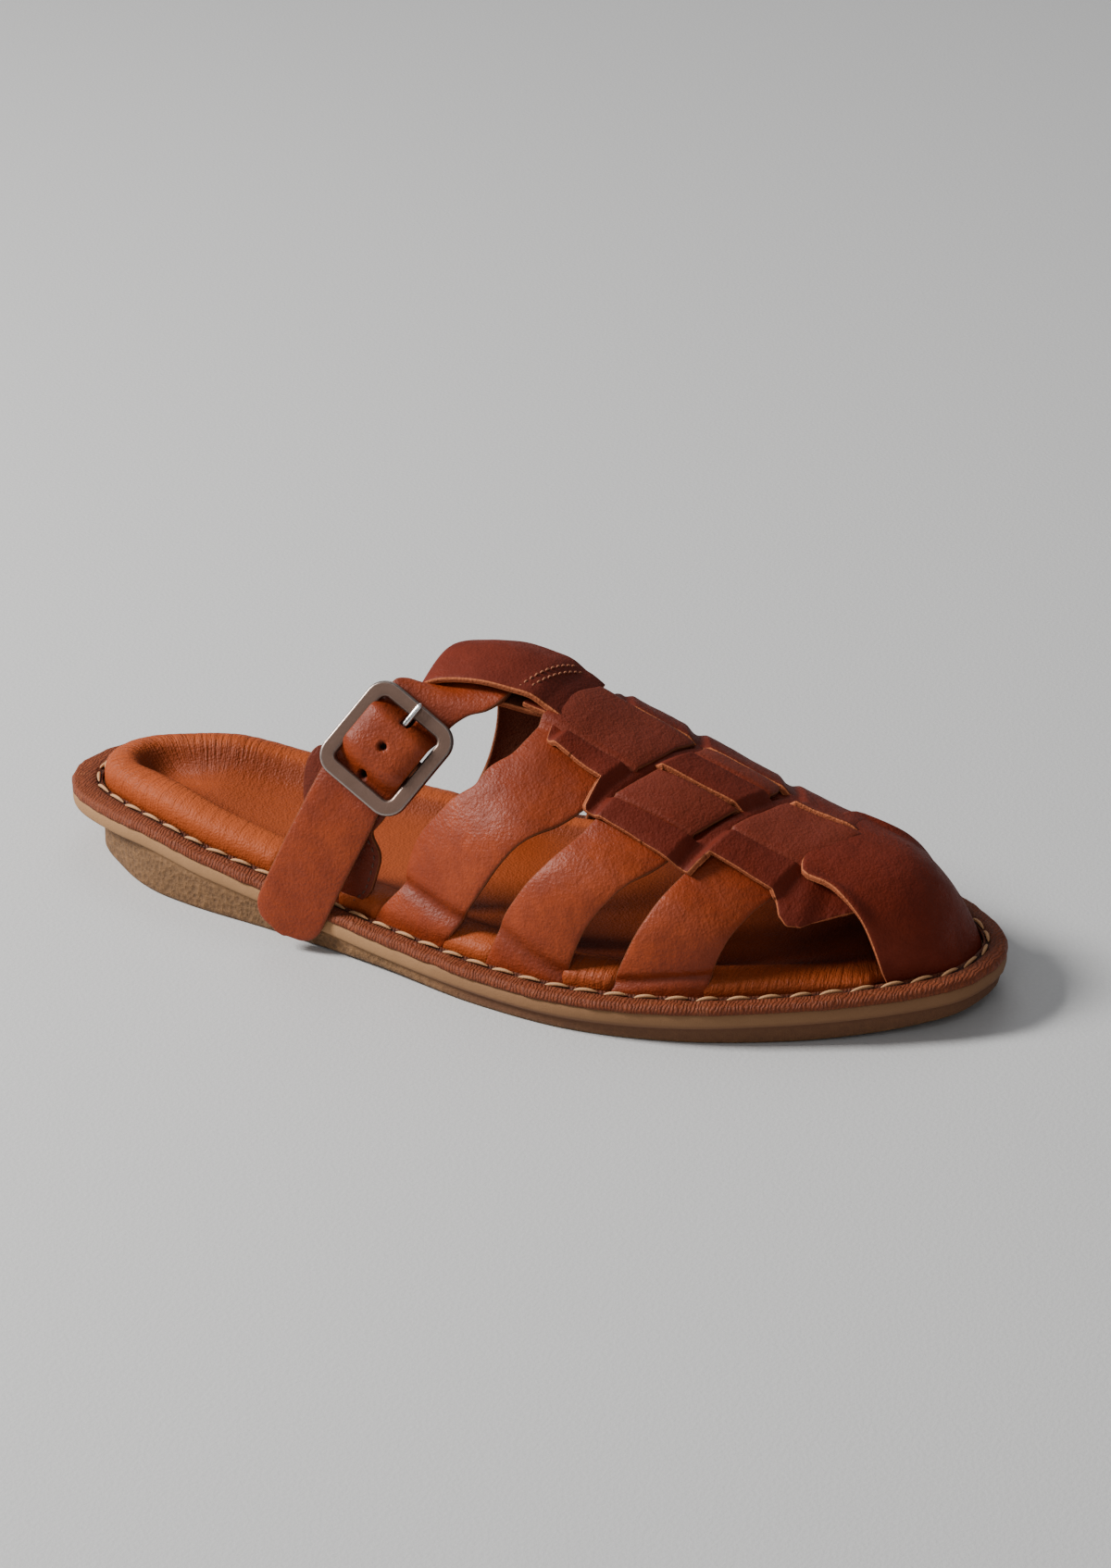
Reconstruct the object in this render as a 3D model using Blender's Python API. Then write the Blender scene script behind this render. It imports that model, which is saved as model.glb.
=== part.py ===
"""Fisherman sandal, a right shoe: woven leather slide with a toe cap, an instep strap and a buckle.

The toe points to -Y, the heel to +Y and the outer side to -X. The sole stands on Z = 0.
"""

import math
from collections import namedtuple

import bmesh
import bpy
import numpy as np

# Driving sizes of the sole, in metres
SOLE_LENGTH = 0.265
BALL_WIDTH = 0.103
HEEL_HEIGHT = 0.018
FLANGE_THICK = 0.0042
BODY_SETBACK = 0.0015
HEEL_SETBACK = 0.0085
ARCH_OUTER = 0.0008
ARCH_INNER = 0.0035
TOE_SPRING = 0.0042
GAP = 0.0003

# Driving sizes of the leather
STRIP_THICK = 0.0019
STRIP_WIDTH = 0.0062
STRIP_WIDTH_HEEL = 0.0085
LEATHER = 0.0020
RIM_HEIGHT = 0.0090
RIM_WIDTH = 0.0090
FOOTBED_THICK = 0.0032
SEAT_DIP = 0.0022
INSTEP_HEIGHT = 0.073
UNDER_LIFT = -0.0010
OVER_LIFT = 0.0013

# Driving sizes of the buckle and of the straps that it joins
STRAP_WIDTH = 0.0182
CARRIER_WIDTH = 0.0205
CARRIER_THICK = 0.0015
FRAME_LENGTH = 0.0290
FRAME_WIDTH = 0.0272
FRAME_RIM = 0.0036
FRAME_THICK = 0.0024
FRAME_CORNER = 0.0058
BAR_RADIUS = 0.0011
BAR_DROP = 0.0016
PRONG_RADIUS = 0.0008
EYE_WIDTH = 0.0030
HOLE_RADIUS = 0.0013
HOLE_PITCH = 0.0100
STRAP_SHIFT = 0.0006
TAIL_REACH = 0.0137
TAIL_END_HEIGHT = 0.0052
LOOP_FRONT = 0.548
LOOP_REAR = 0.420

RING = 64
HALF = RING // 2

Station = namedtuple("Station", "along outer inner")
# Outline of the sole: shares of the length from the heel, and of the ball width on each side
OUTLINE = [
    Station(0.02, 0.141, 0.136),
    Station(0.08, 0.243, 0.238),
    Station(0.18, 0.320, 0.311),
    Station(0.30, 0.364, 0.350),
    Station(0.42, 0.432, 0.388),
    Station(0.54, 0.500, 0.437),
    Station(0.64, 0.519, 0.481),
    Station(0.74, 0.471, 0.505),
    Station(0.83, 0.372, 0.471),
    Station(0.90, 0.272, 0.388),
    Station(0.955, 0.170, 0.272),
    Station(0.985, 0.085, 0.185),
]
TOE_TIP = 0.075

Height = namedtuple("Height", "along share")
# Top of the rubber flange, as shares of the heel height
FLANGE = [
    Height(0.00, 0.97),
    Height(0.12, 1.00),
    Height(0.22, 0.81),
    Height(0.32, 0.62),
    Height(0.45, 0.49),
    Height(0.60, 0.45),
    Height(0.75, 0.49),
    Height(0.88, 0.57),
    Height(1.00, 0.69),
]
# Height of the footbed's rim over the flange, as shares of its height at the heel
RIM = [
    Height(0.00, 1.00),
    Height(0.15, 1.00),
    Height(0.45, 0.78),
    Height(0.80, 0.72),
    Height(0.90, 0.40),
    Height(1.00, 0.25),
]
# Crest of the last, as shares of the instep height
CREST = [
    Height(0.28, 0.90),
    Height(0.40, 0.945),
    Height(0.47, 0.972),
    Height(0.54, 0.925),
    Height(0.60, 0.822),
    Height(0.67, 0.726),
    Height(0.74, 0.630),
    Height(0.80, 0.548),
    Height(0.85, 0.507),
    Height(0.885, 0.470),
    Height(0.915, 0.405),
    Height(0.938, 0.325),
    Height(0.953, 0.245),
    Height(0.9650, 0.188),
]
# Sideways place of the crest, as shares of the ball width towards the inner side
CREST_SIDE = [
    Height(0.28, 0.000),
    Height(0.60, 0.010),
    Height(0.72, 0.026),
    Height(0.80, 0.042),
    Height(0.88, 0.058),
    Height(0.9650, 0.075),
]
# Fullness of the last's section: 2 is an ellipse, more is fuller at the shoulders
FULLNESS = [Height(0.28, 1.95), Height(0.46, 2.0), Height(0.62, 2.3), Height(0.85, 2.35), Height(0.9650, 2.2)]
LAST_END = 0.9650
TOE_TURN = 0.86

Sheet = namedtuple("Sheet", "along reach")
# Half width of the middle sheet from the loop to the toe cap, as shares of the ball width
SHEET = [
    Sheet(0.535, 0.110),
    Sheet(0.556, 0.112),
    Sheet(0.563, 0.193),
    Sheet(0.628, 0.203),
    Sheet(0.636, 0.296),
    Sheet(0.724, 0.306),
    Sheet(0.733, 0.240),
    Sheet(0.812, 0.228),
    Sheet(0.832, 0.165),
    Sheet(0.846, 0.102),
    Sheet(0.885, 0.102),
]

Strap = namedtuple("Strap", "name outer_rear outer_front top_rear top_front inner_rear inner_front bend over")
# Cross straps: where their two edges meet the sole on each side and cross the crest, as shares of the
# length, how the edges bend between, and the stretches that pass over the sheet, as shares of the ball width
STRAPS = [
    Strap("rear", 0.408, 0.489, 0.575, 0.647, 0.496, 0.571, 1.20, [(0.0, 0.102)]),
    Strap("middle", 0.545, 0.626, 0.668, 0.741, 0.606, 0.675, 1.00, [(0.046, 0.199)]),
    Strap("front", 0.674, 0.759, 0.764, 0.832, 0.732, 0.807, 0.90, [(0.0, 0.102)]),
]

Path = namedtuple("Path", "outer top inner bend")
# Middle line of the instep strap, and of the carrier strap under its tail, as shares of the length
INSTEP = Path(0.305, 0.475, 0.414, 1.90)
CARRIER = Path(0.322, 0.420, 0.322, 1.0)
# The buckle's middle, its direction along the strap towards the crest, and its bar's direction
BUCKLE_AT = np.array([-0.0290, 0.0243, 0.0570])
BUCKLE_RUN = np.array([0.532, -0.460, 0.711])
BUCKLE_BAR = np.array([0.047, 0.854, 0.517])

Cap = namedtuple("Cap", "top outer inner bend")
CAP = Cap(0.825, 0.920, 0.916, 0.86)

for old in list(bpy.data.objects):
    bpy.data.objects.remove(old)


def curve_value(table, column, along):
    """A smooth monotone curve through a table's rows, read at one share of the length."""
    xs = np.array([row.along for row in table])
    ys = np.array([getattr(row, column) for row in table])
    steps = np.diff(xs)
    slopes = np.diff(ys) / steps
    tangents = np.zeros(len(xs))
    tangents[0], tangents[-1] = slopes[0], slopes[-1]
    for i in range(1, len(xs) - 1):
        if slopes[i - 1] * slopes[i] > 0:
            before = 2 * steps[i] + steps[i - 1]
            after = steps[i] + 2 * steps[i - 1]
            tangents[i] = (before + after) / (before / slopes[i - 1] + after / slopes[i])
    along = min(max(along, xs[0]), xs[-1])
    i = min(max(int(np.searchsorted(xs, along)) - 1, 0), len(xs) - 2)
    t = (along - xs[i]) / steps[i]
    h00 = 2 * t**3 - 3 * t**2 + 1
    h10 = t**3 - 2 * t**2 + t
    h01 = -2 * t**3 + 3 * t**2
    h11 = t**3 - t**2
    return (
        h00 * ys[i]
        + h10 * steps[i] * tangents[i]
        + h01 * ys[i + 1]
        + h11 * steps[i] * tangents[i + 1]
    )


def smooth_step(value):
    value = min(max(value, 0.0), 1.0)
    return value * value * (3 - 2 * value)


def y_at(along):
    return SOLE_LENGTH * (0.5 - along)


def along_at(y):
    return min(max(0.5 - y / SOLE_LENGTH, 0.0), 1.0)


def spline_through(points, count):
    """Evenly spaced points on a centripetal spline through the given ones, the ends included."""
    points = np.array(points, float)
    ends = [2 * points[0] - points[1], 2 * points[-1] - points[-2]]
    full = np.vstack([ends[0], points, ends[1]])
    fine = []
    for i in range(1, len(full) - 2):
        p0, p1, p2, p3 = full[i - 1 : i + 3]
        t1 = math.sqrt(np.linalg.norm(p1 - p0))
        t2 = t1 + math.sqrt(np.linalg.norm(p2 - p1))
        t3 = t2 + math.sqrt(np.linalg.norm(p3 - p2))
        for t in np.linspace(t1, t2, 12, endpoint=False):
            a1 = (t1 - t) / t1 * p0 + t / t1 * p1
            a2 = (t2 - t) / (t2 - t1) * p1 + (t - t1) / (t2 - t1) * p2
            a3 = (t3 - t) / (t3 - t2) * p2 + (t - t2) / (t3 - t2) * p3
            b1 = (t2 - t) / t2 * a1 + t / t2 * a2
            b2 = (t3 - t) / (t3 - t1) * a2 + (t - t1) / (t3 - t1) * a3
            fine.append((t2 - t) / (t2 - t1) * b1 + (t - t1) / (t2 - t1) * b2)
    fine.append(full[-2])
    fine = np.array(fine)
    length = np.concatenate([[0], np.cumsum(np.linalg.norm(np.diff(fine, axis=0), axis=1))])
    wanted = np.linspace(0, length[-1], count)
    return np.stack([np.interp(wanted, length, fine[:, k]) for k in range(fine.shape[1])], axis=1)


def sole_outline():
    """The flange's outline seen from above: heel, outer side, toe, then back along the inner side."""
    outer = [(-row.outer * BALL_WIDTH, y_at(row.along)) for row in OUTLINE]
    inner = [(row.inner * BALL_WIDTH, y_at(row.along)) for row in OUTLINE]
    heel = (0.0, y_at(0))
    toe = (TOE_TIP * BALL_WIDTH, y_at(1))
    lead_in = [inner[1], inner[0], heel] + outer + [toe, inner[-1], inner[-2]]
    lead_back = [outer[-2], outer[-1], toe] + inner[::-1] + [heel, outer[0], outer[1]]
    sides = []
    for path in (lead_in, lead_back):
        fine = spline_through(path, 400)
        first = int(np.argmin(np.linalg.norm(fine - np.array(path[2]), axis=1)))
        last = int(np.argmin(np.linalg.norm(fine - np.array(path[-3]), axis=1)))
        sides.append(spline_through(fine[first : last + 1 : 6], HALF + 1)[:-1])
    return np.vstack(sides)


EDGE = sole_outline()
ALONG = np.array([along_at(y) for y in EDGE[:, 1]])
# Middle of the outline's box, taken off every point so that the origin is at the middle of the sole
CENTRE = np.append((EDGE.min(axis=0) + EDGE.max(axis=0)) / 2, 0.0)


def spine_points():
    """For each outline point, the point of the sole's middle line that it draws in towards."""
    mids = []
    for along in ALONG:
        held = min(max(along, 0.14), 0.86)
        outer = curve_value(OUTLINE, "outer", held)
        inner = curve_value(OUTLINE, "inner", held)
        mids.append(((inner - outer) / 2 * BALL_WIDTH, y_at(held)))
    return np.array(mids)


SPINE = spine_points()


def inset(distance):
    """The outline drawn in by a distance, which may be one number or one for each point."""
    inward = SPINE - EDGE
    inward /= np.linalg.norm(inward, axis=1)[:, None]
    return EDGE + inward * np.broadcast_to(distance, RING)[:, None]


def towards_spine(ring, share):
    return ring + (SPINE - ring) * share


def flange_top(along):
    return curve_value(FLANGE, "share", along) * HEEL_HEIGHT


FLANGE_TOP = np.array([flange_top(a) for a in ALONG])
HEEL_SHARE = np.array([1 - smooth_step(a / 0.16) for a in ALONG])
STRIP_INNER = STRIP_WIDTH + (STRIP_WIDTH_HEEL - STRIP_WIDTH) * HEEL_SHARE


def sole_bottom(along, side):
    """Height of the tread: flat at heel and ball, lifted at the arch and at the toe."""
    arch = ARCH_OUTER + (ARCH_INNER - ARCH_OUTER) * (side + 1) / 2
    rise = math.sin(math.pi * min(max((along - 0.30) / 0.24, 0), 1)) ** 2
    spring = TOE_SPRING * max((along - 0.80) / 0.20, 0) ** 2
    return arch * rise + spring


def material(name, colour, roughness, metallic=0.0):
    made = bpy.data.materials.new(name)
    made.use_nodes = True
    shader = made.node_tree.nodes["Principled BSDF"]
    shader.inputs["Base Color"].default_value = (*colour, 1)
    shader.inputs["Roughness"].default_value = roughness
    shader.inputs["Metallic"].default_value = metallic
    return made


RUBBER = material("natural_rubber", (0.42, 0.29, 0.17), 0.75)
STRIP_LEATHER = material("strip_leather", (0.26, 0.09, 0.045), 0.6)
FOOTBED_LEATHER = material("footbed_leather", (0.55, 0.24, 0.11), 0.65)
UPPER_LEATHER = material("upper_leather", (0.34, 0.10, 0.045), 0.45)
GUNMETAL = material("gunmetal", (0.30, 0.27, 0.25), 0.3, 1.0)


def solid(name, points, faces, finish):
    """A closed mesh object with its faces turned outwards."""
    mesh = bpy.data.meshes.new(name)
    mesh.from_pydata([tuple(p - CENTRE) for p in points], [], faces)
    work = bmesh.new()
    work.from_mesh(mesh)
    bmesh.ops.remove_doubles(work, verts=work.verts, dist=1e-7)
    bmesh.ops.recalc_face_normals(work, faces=work.faces)
    work.to_mesh(mesh)
    work.free()
    mesh.materials.append(finish)
    mesh.shade_smooth()
    mesh.set_sharp_from_angle(angle=math.radians(40))
    made = bpy.data.objects.new(name, mesh)
    bpy.context.scene.collection.objects.link(made)
    return made


def ring_solid(name, rings, finish, hollow=False):
    """Rings of the outline's points joined one to the next, and closed over the sole's middle line."""
    points = np.vstack([np.column_stack([xy, np.broadcast_to(z, RING)]) for xy, z in rings])
    faces = []
    count = len(rings)
    for r in range(count if hollow else count - 1):
        low = r * RING
        high = (r + 1) % count * RING
        for i in range(RING):
            j = (i + 1) % RING
            faces.append((low + i, low + j, high + j, high + i))
    if not hollow:
        for low in (0, (count - 1) * RING):
            faces.append((low, low + 1, low + RING - 1))
            for i in range(1, HALF - 1):
                faces.append((low + i, low + i + 1, low + RING - i - 1, low + RING - i))
            faces.append((low + HALF - 1, low + HALF, low + HALF + 1))
    return solid(name, points, faces, finish)


def plate(name, lower, upper, finish):
    """A wall between two grids of points, closed round its edge."""
    rows, columns = lower.shape[:2]
    points = np.vstack([lower.reshape(-1, 3), upper.reshape(-1, 3)])
    top = rows * columns
    faces = []
    for r in range(rows - 1):
        for c in range(columns - 1):
            a = r * columns + c
            b = a + columns
            faces.append((a, a + 1, b + 1, b))
            faces.append((top + a, top + b, top + b + 1, top + a + 1))
    around = [c for c in range(columns - 1)]
    around += [r * columns + columns - 1 for r in range(rows - 1)]
    around += [(rows - 1) * columns + c for c in range(columns - 1, 0, -1)]
    around += [r * columns for r in range(rows - 1, 0, -1)]
    for a, b in zip(around, around[1:] + around[:1]):
        faces.append((a, top + a, top + b, b))
    return solid(name, points, faces, finish)


def make_outsole():
    """One rubber unit: crepe body with heel, arch and toe spring, and the flange that overhangs it."""
    side = np.array([-1.0] * HALF + [1.0] * HALF)
    bottom = np.array([sole_bottom(a, s) for a, s in zip(ALONG, side)])
    flat = np.array([sole_bottom(a, 0) for a in ALONG])
    set_back = BODY_SETBACK + (HEEL_SETBACK - BODY_SETBACK) * HEEL_SHARE
    under = FLANGE_TOP - FLANGE_THICK
    body = inset(set_back)
    foot = inset(set_back + 0.0012)
    seat = inset(STRIP_INNER + LEATHER)
    dip = FLANGE_TOP - SEAT_DIP * np.array([1 - smooth_step((a - 0.25) / 0.2) for a in ALONG])
    rings = [
        (towards_spine(foot, 0.85), flat),
        (towards_spine(foot, 0.35), (flat + bottom) / 2),
        (foot, bottom),
        (body, bottom + 0.0012),
        (body, under - 0.0008),
        (inset(set_back * 0.5), under),
        (inset(0.0004), under),
        (inset(0), under + 0.0005),
        (inset(0), FLANGE_TOP - 0.0005),
        (inset(0.0005), FLANGE_TOP),
        (seat, FLANGE_TOP),
        (towards_spine(seat, 0.35), dip),
        (towards_spine(seat, 0.85), dip),
    ]
    return ring_solid("outsole", rings, RUBBER)


def make_strip():
    """The leather strip on the flange, against whose inner edge the straps go down."""
    low = FLANGE_TOP + GAP
    high = low + STRIP_THICK
    rings = [
        (inset(0.0006), low),
        (inset(0.0006), high - 0.0004),
        (inset(0.0011), high),
        (inset(STRIP_INNER - 0.0004), high + 0.0004),
        (inset(STRIP_INNER), high),
        (inset(STRIP_INNER), low),
    ]
    return ring_solid("welt_strip", rings, STRIP_LEATHER, hollow=True)


def make_footbed():
    """Leather footbed with a padded rim all round and a cupped heel."""
    start = STRIP_INNER + LEATHER + 5 * GAP
    rim = RIM_HEIGHT * np.array([curve_value(RIM, "share", a) for a in ALONG])
    heel = np.array([1 - smooth_step((a - 0.25) / 0.2) for a in ALONG])
    seat = inset(STRIP_INNER + LEATHER)
    low = FLANGE_TOP + GAP
    dip = FLANGE_TOP - SEAT_DIP * heel + 2 * GAP
    floor = dip + FOOTBED_THICK
    rings = [
        (towards_spine(seat, 0.85), dip),
        (towards_spine(seat, 0.35), dip),
        (inset(start), low),
        (inset(start), low + rim * 0.50),
        (inset(start + RIM_WIDTH * 0.14), low + rim * 0.83),
        (inset(start + RIM_WIDTH * 0.38), low + rim),
        (inset(start + RIM_WIDTH * 0.66), low + rim * 0.93),
        (inset(start + RIM_WIDTH * 0.95), floor + (low + rim - floor) * 0.52),
        (inset(start + RIM_WIDTH * 1.25), floor + (low + rim - floor) * 0.16),
        (inset(start + RIM_WIDTH * 1.75), floor),
        (towards_spine(seat, 0.88), floor),
    ]
    return ring_solid("footbed", rings, FOOTBED_LEATHER)


LAST_INSET = STRIP_INNER + GAP + LEATHER


def sole_line(y, lift):
    """Where the last's surface, raised by a lift, meets the sole at one Y: X and Z outside, then inside."""
    ring = inset(LAST_INSET - lift)
    outer = ring[: HALF + 1]
    inner = np.vstack([ring[HALF:], ring[:1]])
    x_outer = np.interp(-y, -outer[:, 1], outer[:, 0])
    x_inner = np.interp(y, inner[:, 1], inner[:, 0])
    z_outer = np.interp(-y, -outer[:, 1], FLANGE_TOP[: HALF + 1])
    z_inner = np.interp(y, inner[:, 1], np.append(FLANGE_TOP[HALF:], FLANGE_TOP[0]))
    return x_outer, x_inner, z_outer, z_inner


def crest_height(along):
    return curve_value(CREST, "share", along) * INSTEP_HEIGHT


def crest_side(along):
    return curve_value(CREST_SIDE, "share", along) * BALL_WIDTH


def last_point(along, across, lift):
    """A point of the last's surface: across runs from -1 at the outer sole edge to 1 at the inner one."""
    turn = smooth_step((along - TOE_TURN) / (LAST_END - TOE_TURN))
    y = y_at(along) - lift * turn
    x_outer, x_inner, z_outer, z_inner = sole_line(y, lift)
    middle = min(max(crest_side(along), x_outer), x_inner)
    base = (z_outer if across < 0 else z_inner) + GAP
    slope = (crest_height(along - 0.01) - crest_height(along + 0.01)) / (0.02 * SOLE_LENGTH)
    steep = math.sqrt(1 + min(abs(slope), 1.2) ** 2)
    top = crest_height(along) + lift * steep * (1 - turn**4)
    power = 2 / curve_value(FULLNESS, "share", along)
    angle = across * math.pi / 2
    sideways = math.copysign(abs(math.sin(angle)) ** power, across)
    upwards = max(math.cos(angle), 0.0) ** power
    half = middle - x_outer if across < 0 else x_inner - middle
    return np.array([middle + sideways * half, y, base + (top - base) * upwards])


def across_for(along, reach):
    """The across value of a point that lies this far sideways of the crest."""
    x_outer, x_inner = sole_line(y_at(along), 0.0)[:2]
    middle = crest_side(along)
    half = middle - x_outer if reach < 0 else x_inner - middle
    share = min(abs(reach) / half, 1.0)
    power = curve_value(FULLNESS, "share", along) / 2
    return math.copysign(math.asin(share**power) / (math.pi / 2), reach)


def wall(name, rows, lift_of, thick=LEATHER):
    """A leather wall over a grid of (along, across) pairs, at the lift that a function gives."""
    lower = np.array([[last_point(s, a, lift_of(s, a)) for s, a in row] for row in rows])
    upper = np.array([[last_point(s, a, lift_of(s, a) + thick) for s, a in row] for row in rows])
    return plate(name, lower, upper, UPPER_LEATHER)


def strap_share(strap, across, edge):
    """Along value of one edge of a cross strap at one place across the shoe."""
    side = "outer" if across < 0 else "inner"
    top = getattr(strap, "top_" + edge)
    foot = getattr(strap, side + "_" + edge)
    return top + (foot - top) * abs(across) ** strap.bend


def strap_lift(strap, along, across):
    """Over the sheet in the strap's stretches, under its side bands, and level near the sole."""
    point = last_point(along, across, 0.0)
    reach = abs(point[0] - crest_side(along)) / BALL_WIDTH
    outside = smooth_step((reach - 0.31) / 0.05)
    over = 0.0
    for start, stop in strap.over:
        rise = 1.0 if start == 0 else smooth_step((reach - start + 0.012) / 0.024)
        over = max(over, rise * (1 - smooth_step((reach - stop + 0.012) / 0.024)))
    return (UNDER_LIFT + (OVER_LIFT - UNDER_LIFT) * over) * (1 - outside)


def make_strap(strap):
    places = {0.0, 1.0, 0.87, 0.74, 0.62}
    middle = (strap.top_rear + strap.top_front) / 2
    for start, stop in strap.over:
        for edge in (start, stop):
            for step in (-0.014, 0.014):
                if edge:
                    places.add(round(across_for(middle, (edge + step) * BALL_WIDTH), 4))
    for reach in (0.16, 0.205, 0.25, 0.31):
        places.add(round(across_for(middle, reach * BALL_WIDTH), 4))
    places = sorted(places)
    places = [-p for p in places[:0:-1]] + places
    rows = []
    for across in places:
        rear = strap_share(strap, across, "rear")
        front = strap_share(strap, across, "front")
        rows.append([(rear + (front - rear) * t / 4, across) for t in range(5)])
    return wall("strap_" + strap.name, rows, lambda s, a: strap_lift(strap, s, a))


def make_sheet():
    """The middle sheet: narrow at the loop, wide at the bands that hold the cross straps down."""
    stops = [0.545, 0.556, 0.563, 0.585, 0.607, 0.628, 0.636, 0.658, 0.68, 0.702, 0.724, 0.733]
    stops += [0.759, 0.785, 0.812, 0.832, 0.846, 0.865, 0.885]
    rows = []
    for along in stops:
        half = curve_value(SHEET, "reach", along) * BALL_WIDTH
        rows.append([(along, across_for(along, half * t / 5)) for t in range(-5, 6)])
    return wall("sheet", rows, lambda s, a: 0.0)


def make_toe_cap():
    """The domed toe cap, open behind along a curved edge and closed round the toe."""
    rows = []
    for step in range(10):
        t = math.sin(step / 9 * math.pi / 2)
        row = []
        for k in range(-9, 10):
            across = math.sin(k / 9 * math.pi / 2)
            foot = CAP.outer if across < 0 else CAP.inner
            edge = CAP.top + (foot - CAP.top) * abs(across) ** CAP.bend
            row.append((edge + (LAST_END - edge) * t, across))
        rows.append(row)
    return wall("toe_cap", rows, lambda s, a: 0.0005 * (1 - abs(a) ** 3) * (1 - (s / LAST_END) ** 20))


def make_loop():
    """The sheet's rear end, folded back under itself round the instep strap."""
    clear = 3 * GAP
    path = [(LOOP_FRONT + 0.012, 0.0006), (LOOP_FRONT, 0.0010)]
    path += [(LOOP_FRONT - 0.016, LEATHER + clear * 0.9), (LOOP_FRONT - 0.035, LEATHER + clear)]
    path += [(LOOP_REAR + 0.03, LEATHER + clear), (LOOP_REAR + 0.012, LEATHER + clear)]
    path += [(LOOP_REAR + 0.004, LEATHER * 0.8 + clear * 0.6), (LOOP_REAR, 0.0)]
    path += [(LOOP_REAR + 0.004, -LEATHER * 0.8 - clear * 0.6), (LOOP_REAR + 0.012, -LEATHER - clear)]
    path += [(LOOP_REAR + 0.03, -LEATHER - clear), (LOOP_FRONT - 0.035, -LEATHER - clear)]
    path += [(LOOP_FRONT - 0.016, -LEATHER - clear * 0.5), (LOOP_FRONT + 0.002, -LEATHER * 0.8)]
    path += [(LOOP_FRONT + 0.012, -LEATHER * 0.7)]
    lower = []
    upper = []
    for i, (along, lift) in enumerate(path):
        before = path[max(i - 1, 0)]
        after = path[min(i + 1, len(path) - 1)]
        run = np.array([(after[0] - before[0]) * SOLE_LENGTH, after[1] - before[1]])
        run /= np.linalg.norm(run)
        normal = np.array([run[1], -run[0]]) * LEATHER / 2
        rows = []
        for sign in (-1, 1):
            s = along + sign * normal[0] / SOLE_LENGTH
            h = lift + LEATHER / 2 + sign * normal[1]
            half = curve_value(SHEET, "reach", 0.54) * BALL_WIDTH
            rows.append([last_point(s, across_for(s, half * t / 3), h) for t in range(-3, 4)])
        lower.append(rows[0])
        upper.append(rows[1])
    return plate("loop", np.array(lower), np.array(upper), UPPER_LEATHER)


def make_upper():
    """Straps, loop and cap joined to the sheet where they cross it: one wall of leather."""
    upper = make_sheet()
    upper.name = "upper"
    pieces = [make_strap(strap) for strap in STRAPS] + [make_loop(), make_toe_cap()]
    for piece in pieces:
        piece.hide_render = True
        piece.display_type = "WIRE"
        join = upper.modifiers.new("join_" + piece.name, "BOOLEAN")
        join.operation = "UNION"
        join.solver = "EXACT"
        join.object = piece
    return upper


def unit(vector):
    return vector / np.linalg.norm(vector)


BUCKLE_OUT = unit(np.cross(BUCKLE_RUN, BUCKLE_BAR))


def buckle_point(run, side, out):
    """A point in the buckle's own axes: towards the crest, along the bar, and outwards."""
    return BUCKLE_AT + BUCKLE_RUN * run + BUCKLE_BAR * side + BUCKLE_OUT * out


def path_along(path, across):
    foot = path.outer if across < 0 else path.inner
    return path.top + (foot - path.top) * abs(across) ** path.bend


def last_rows(path, places, width, lift, thick, hand=1):
    """Rows of a strap that lies on the last's surface: five points below and five above."""
    rows = []
    for across in places:
        middle = path_along(path, across)
        ahead = last_point(path_along(path, across + 0.02), across + 0.02, lift)
        behind = last_point(path_along(path, across - 0.02), across - 0.02, lift)
        slant = abs((ahead - behind)[1]) / np.linalg.norm(ahead - behind)
        reach = width / 2 / SOLE_LENGTH / math.sqrt(1 - 0.8 * slant**2)
        steps = [middle + reach * hand * t for t in (-1, -0.5, 0, 0.5, 1)]
        lower = [last_point(s, across, lift) for s in steps]
        upper = [last_point(s, across, lift + thick) for s in steps]
        rows.append((lower, upper))
    return rows


def flat_rows(places, normals, widths, thick, sides=()):
    """Rows of a strap that hangs free: middle points, outward normals, half widths and skewed sides."""
    rows = []
    for i, place in enumerate(places):
        run = unit(places[min(i + 1, len(places) - 1)] - places[max(i - 1, 0)])
        out = unit(normals[i] - run * (run @ normals[i]))
        side = sides[i] if i < len(sides) else np.cross(out, run)
        row = [place + side * widths[i] * t for t in (-1, -0.5, 0, 0.5, 1)]
        rows.append(([p - out * thick / 2 for p in row], [p + out * thick / 2 for p in row]))
    return rows


def strap_from(name, rows):
    lower = np.array([row[0] for row in rows])
    upper = np.array([row[1] for row in rows])
    return plate(name, lower, upper, UPPER_LEATHER)


def cut(target, cutter):
    cutter.hide_render = True
    cutter.display_type = "WIRE"
    carve = target.modifiers.new("cut_" + cutter.name, "BOOLEAN")
    carve.operation = "DIFFERENCE"
    carve.solver = "EXACT"
    carve.object = cutter


def rod(name, path, radius, sides=8):
    """A round rod swept along a path of points."""
    path = np.array(path)
    points = []
    across = unit(np.cross(path[1] - path[0], np.array([0.31, 0.90, 0.22])))
    for i, place in enumerate(path):
        axis = unit(path[min(i + 1, len(path) - 1)] - path[max(i - 1, 0)])
        across = unit(across - axis * (across @ axis))
        other = np.cross(axis, across)
        for k in range(sides):
            angle = 2 * math.pi * k / sides
            points.append(place + radius * (math.cos(angle) * across + math.sin(angle) * other))
    faces = []
    for r in range(len(path) - 1):
        for k in range(sides):
            n = (k + 1) % sides
            faces.append((r * sides + k, r * sides + n, (r + 1) * sides + n, (r + 1) * sides + k))
    end = (len(path) - 1) * sides
    faces += [tuple(range(sides)), tuple(range(end, end + sides))]
    return solid(name, points, faces, GUNMETAL)


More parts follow.
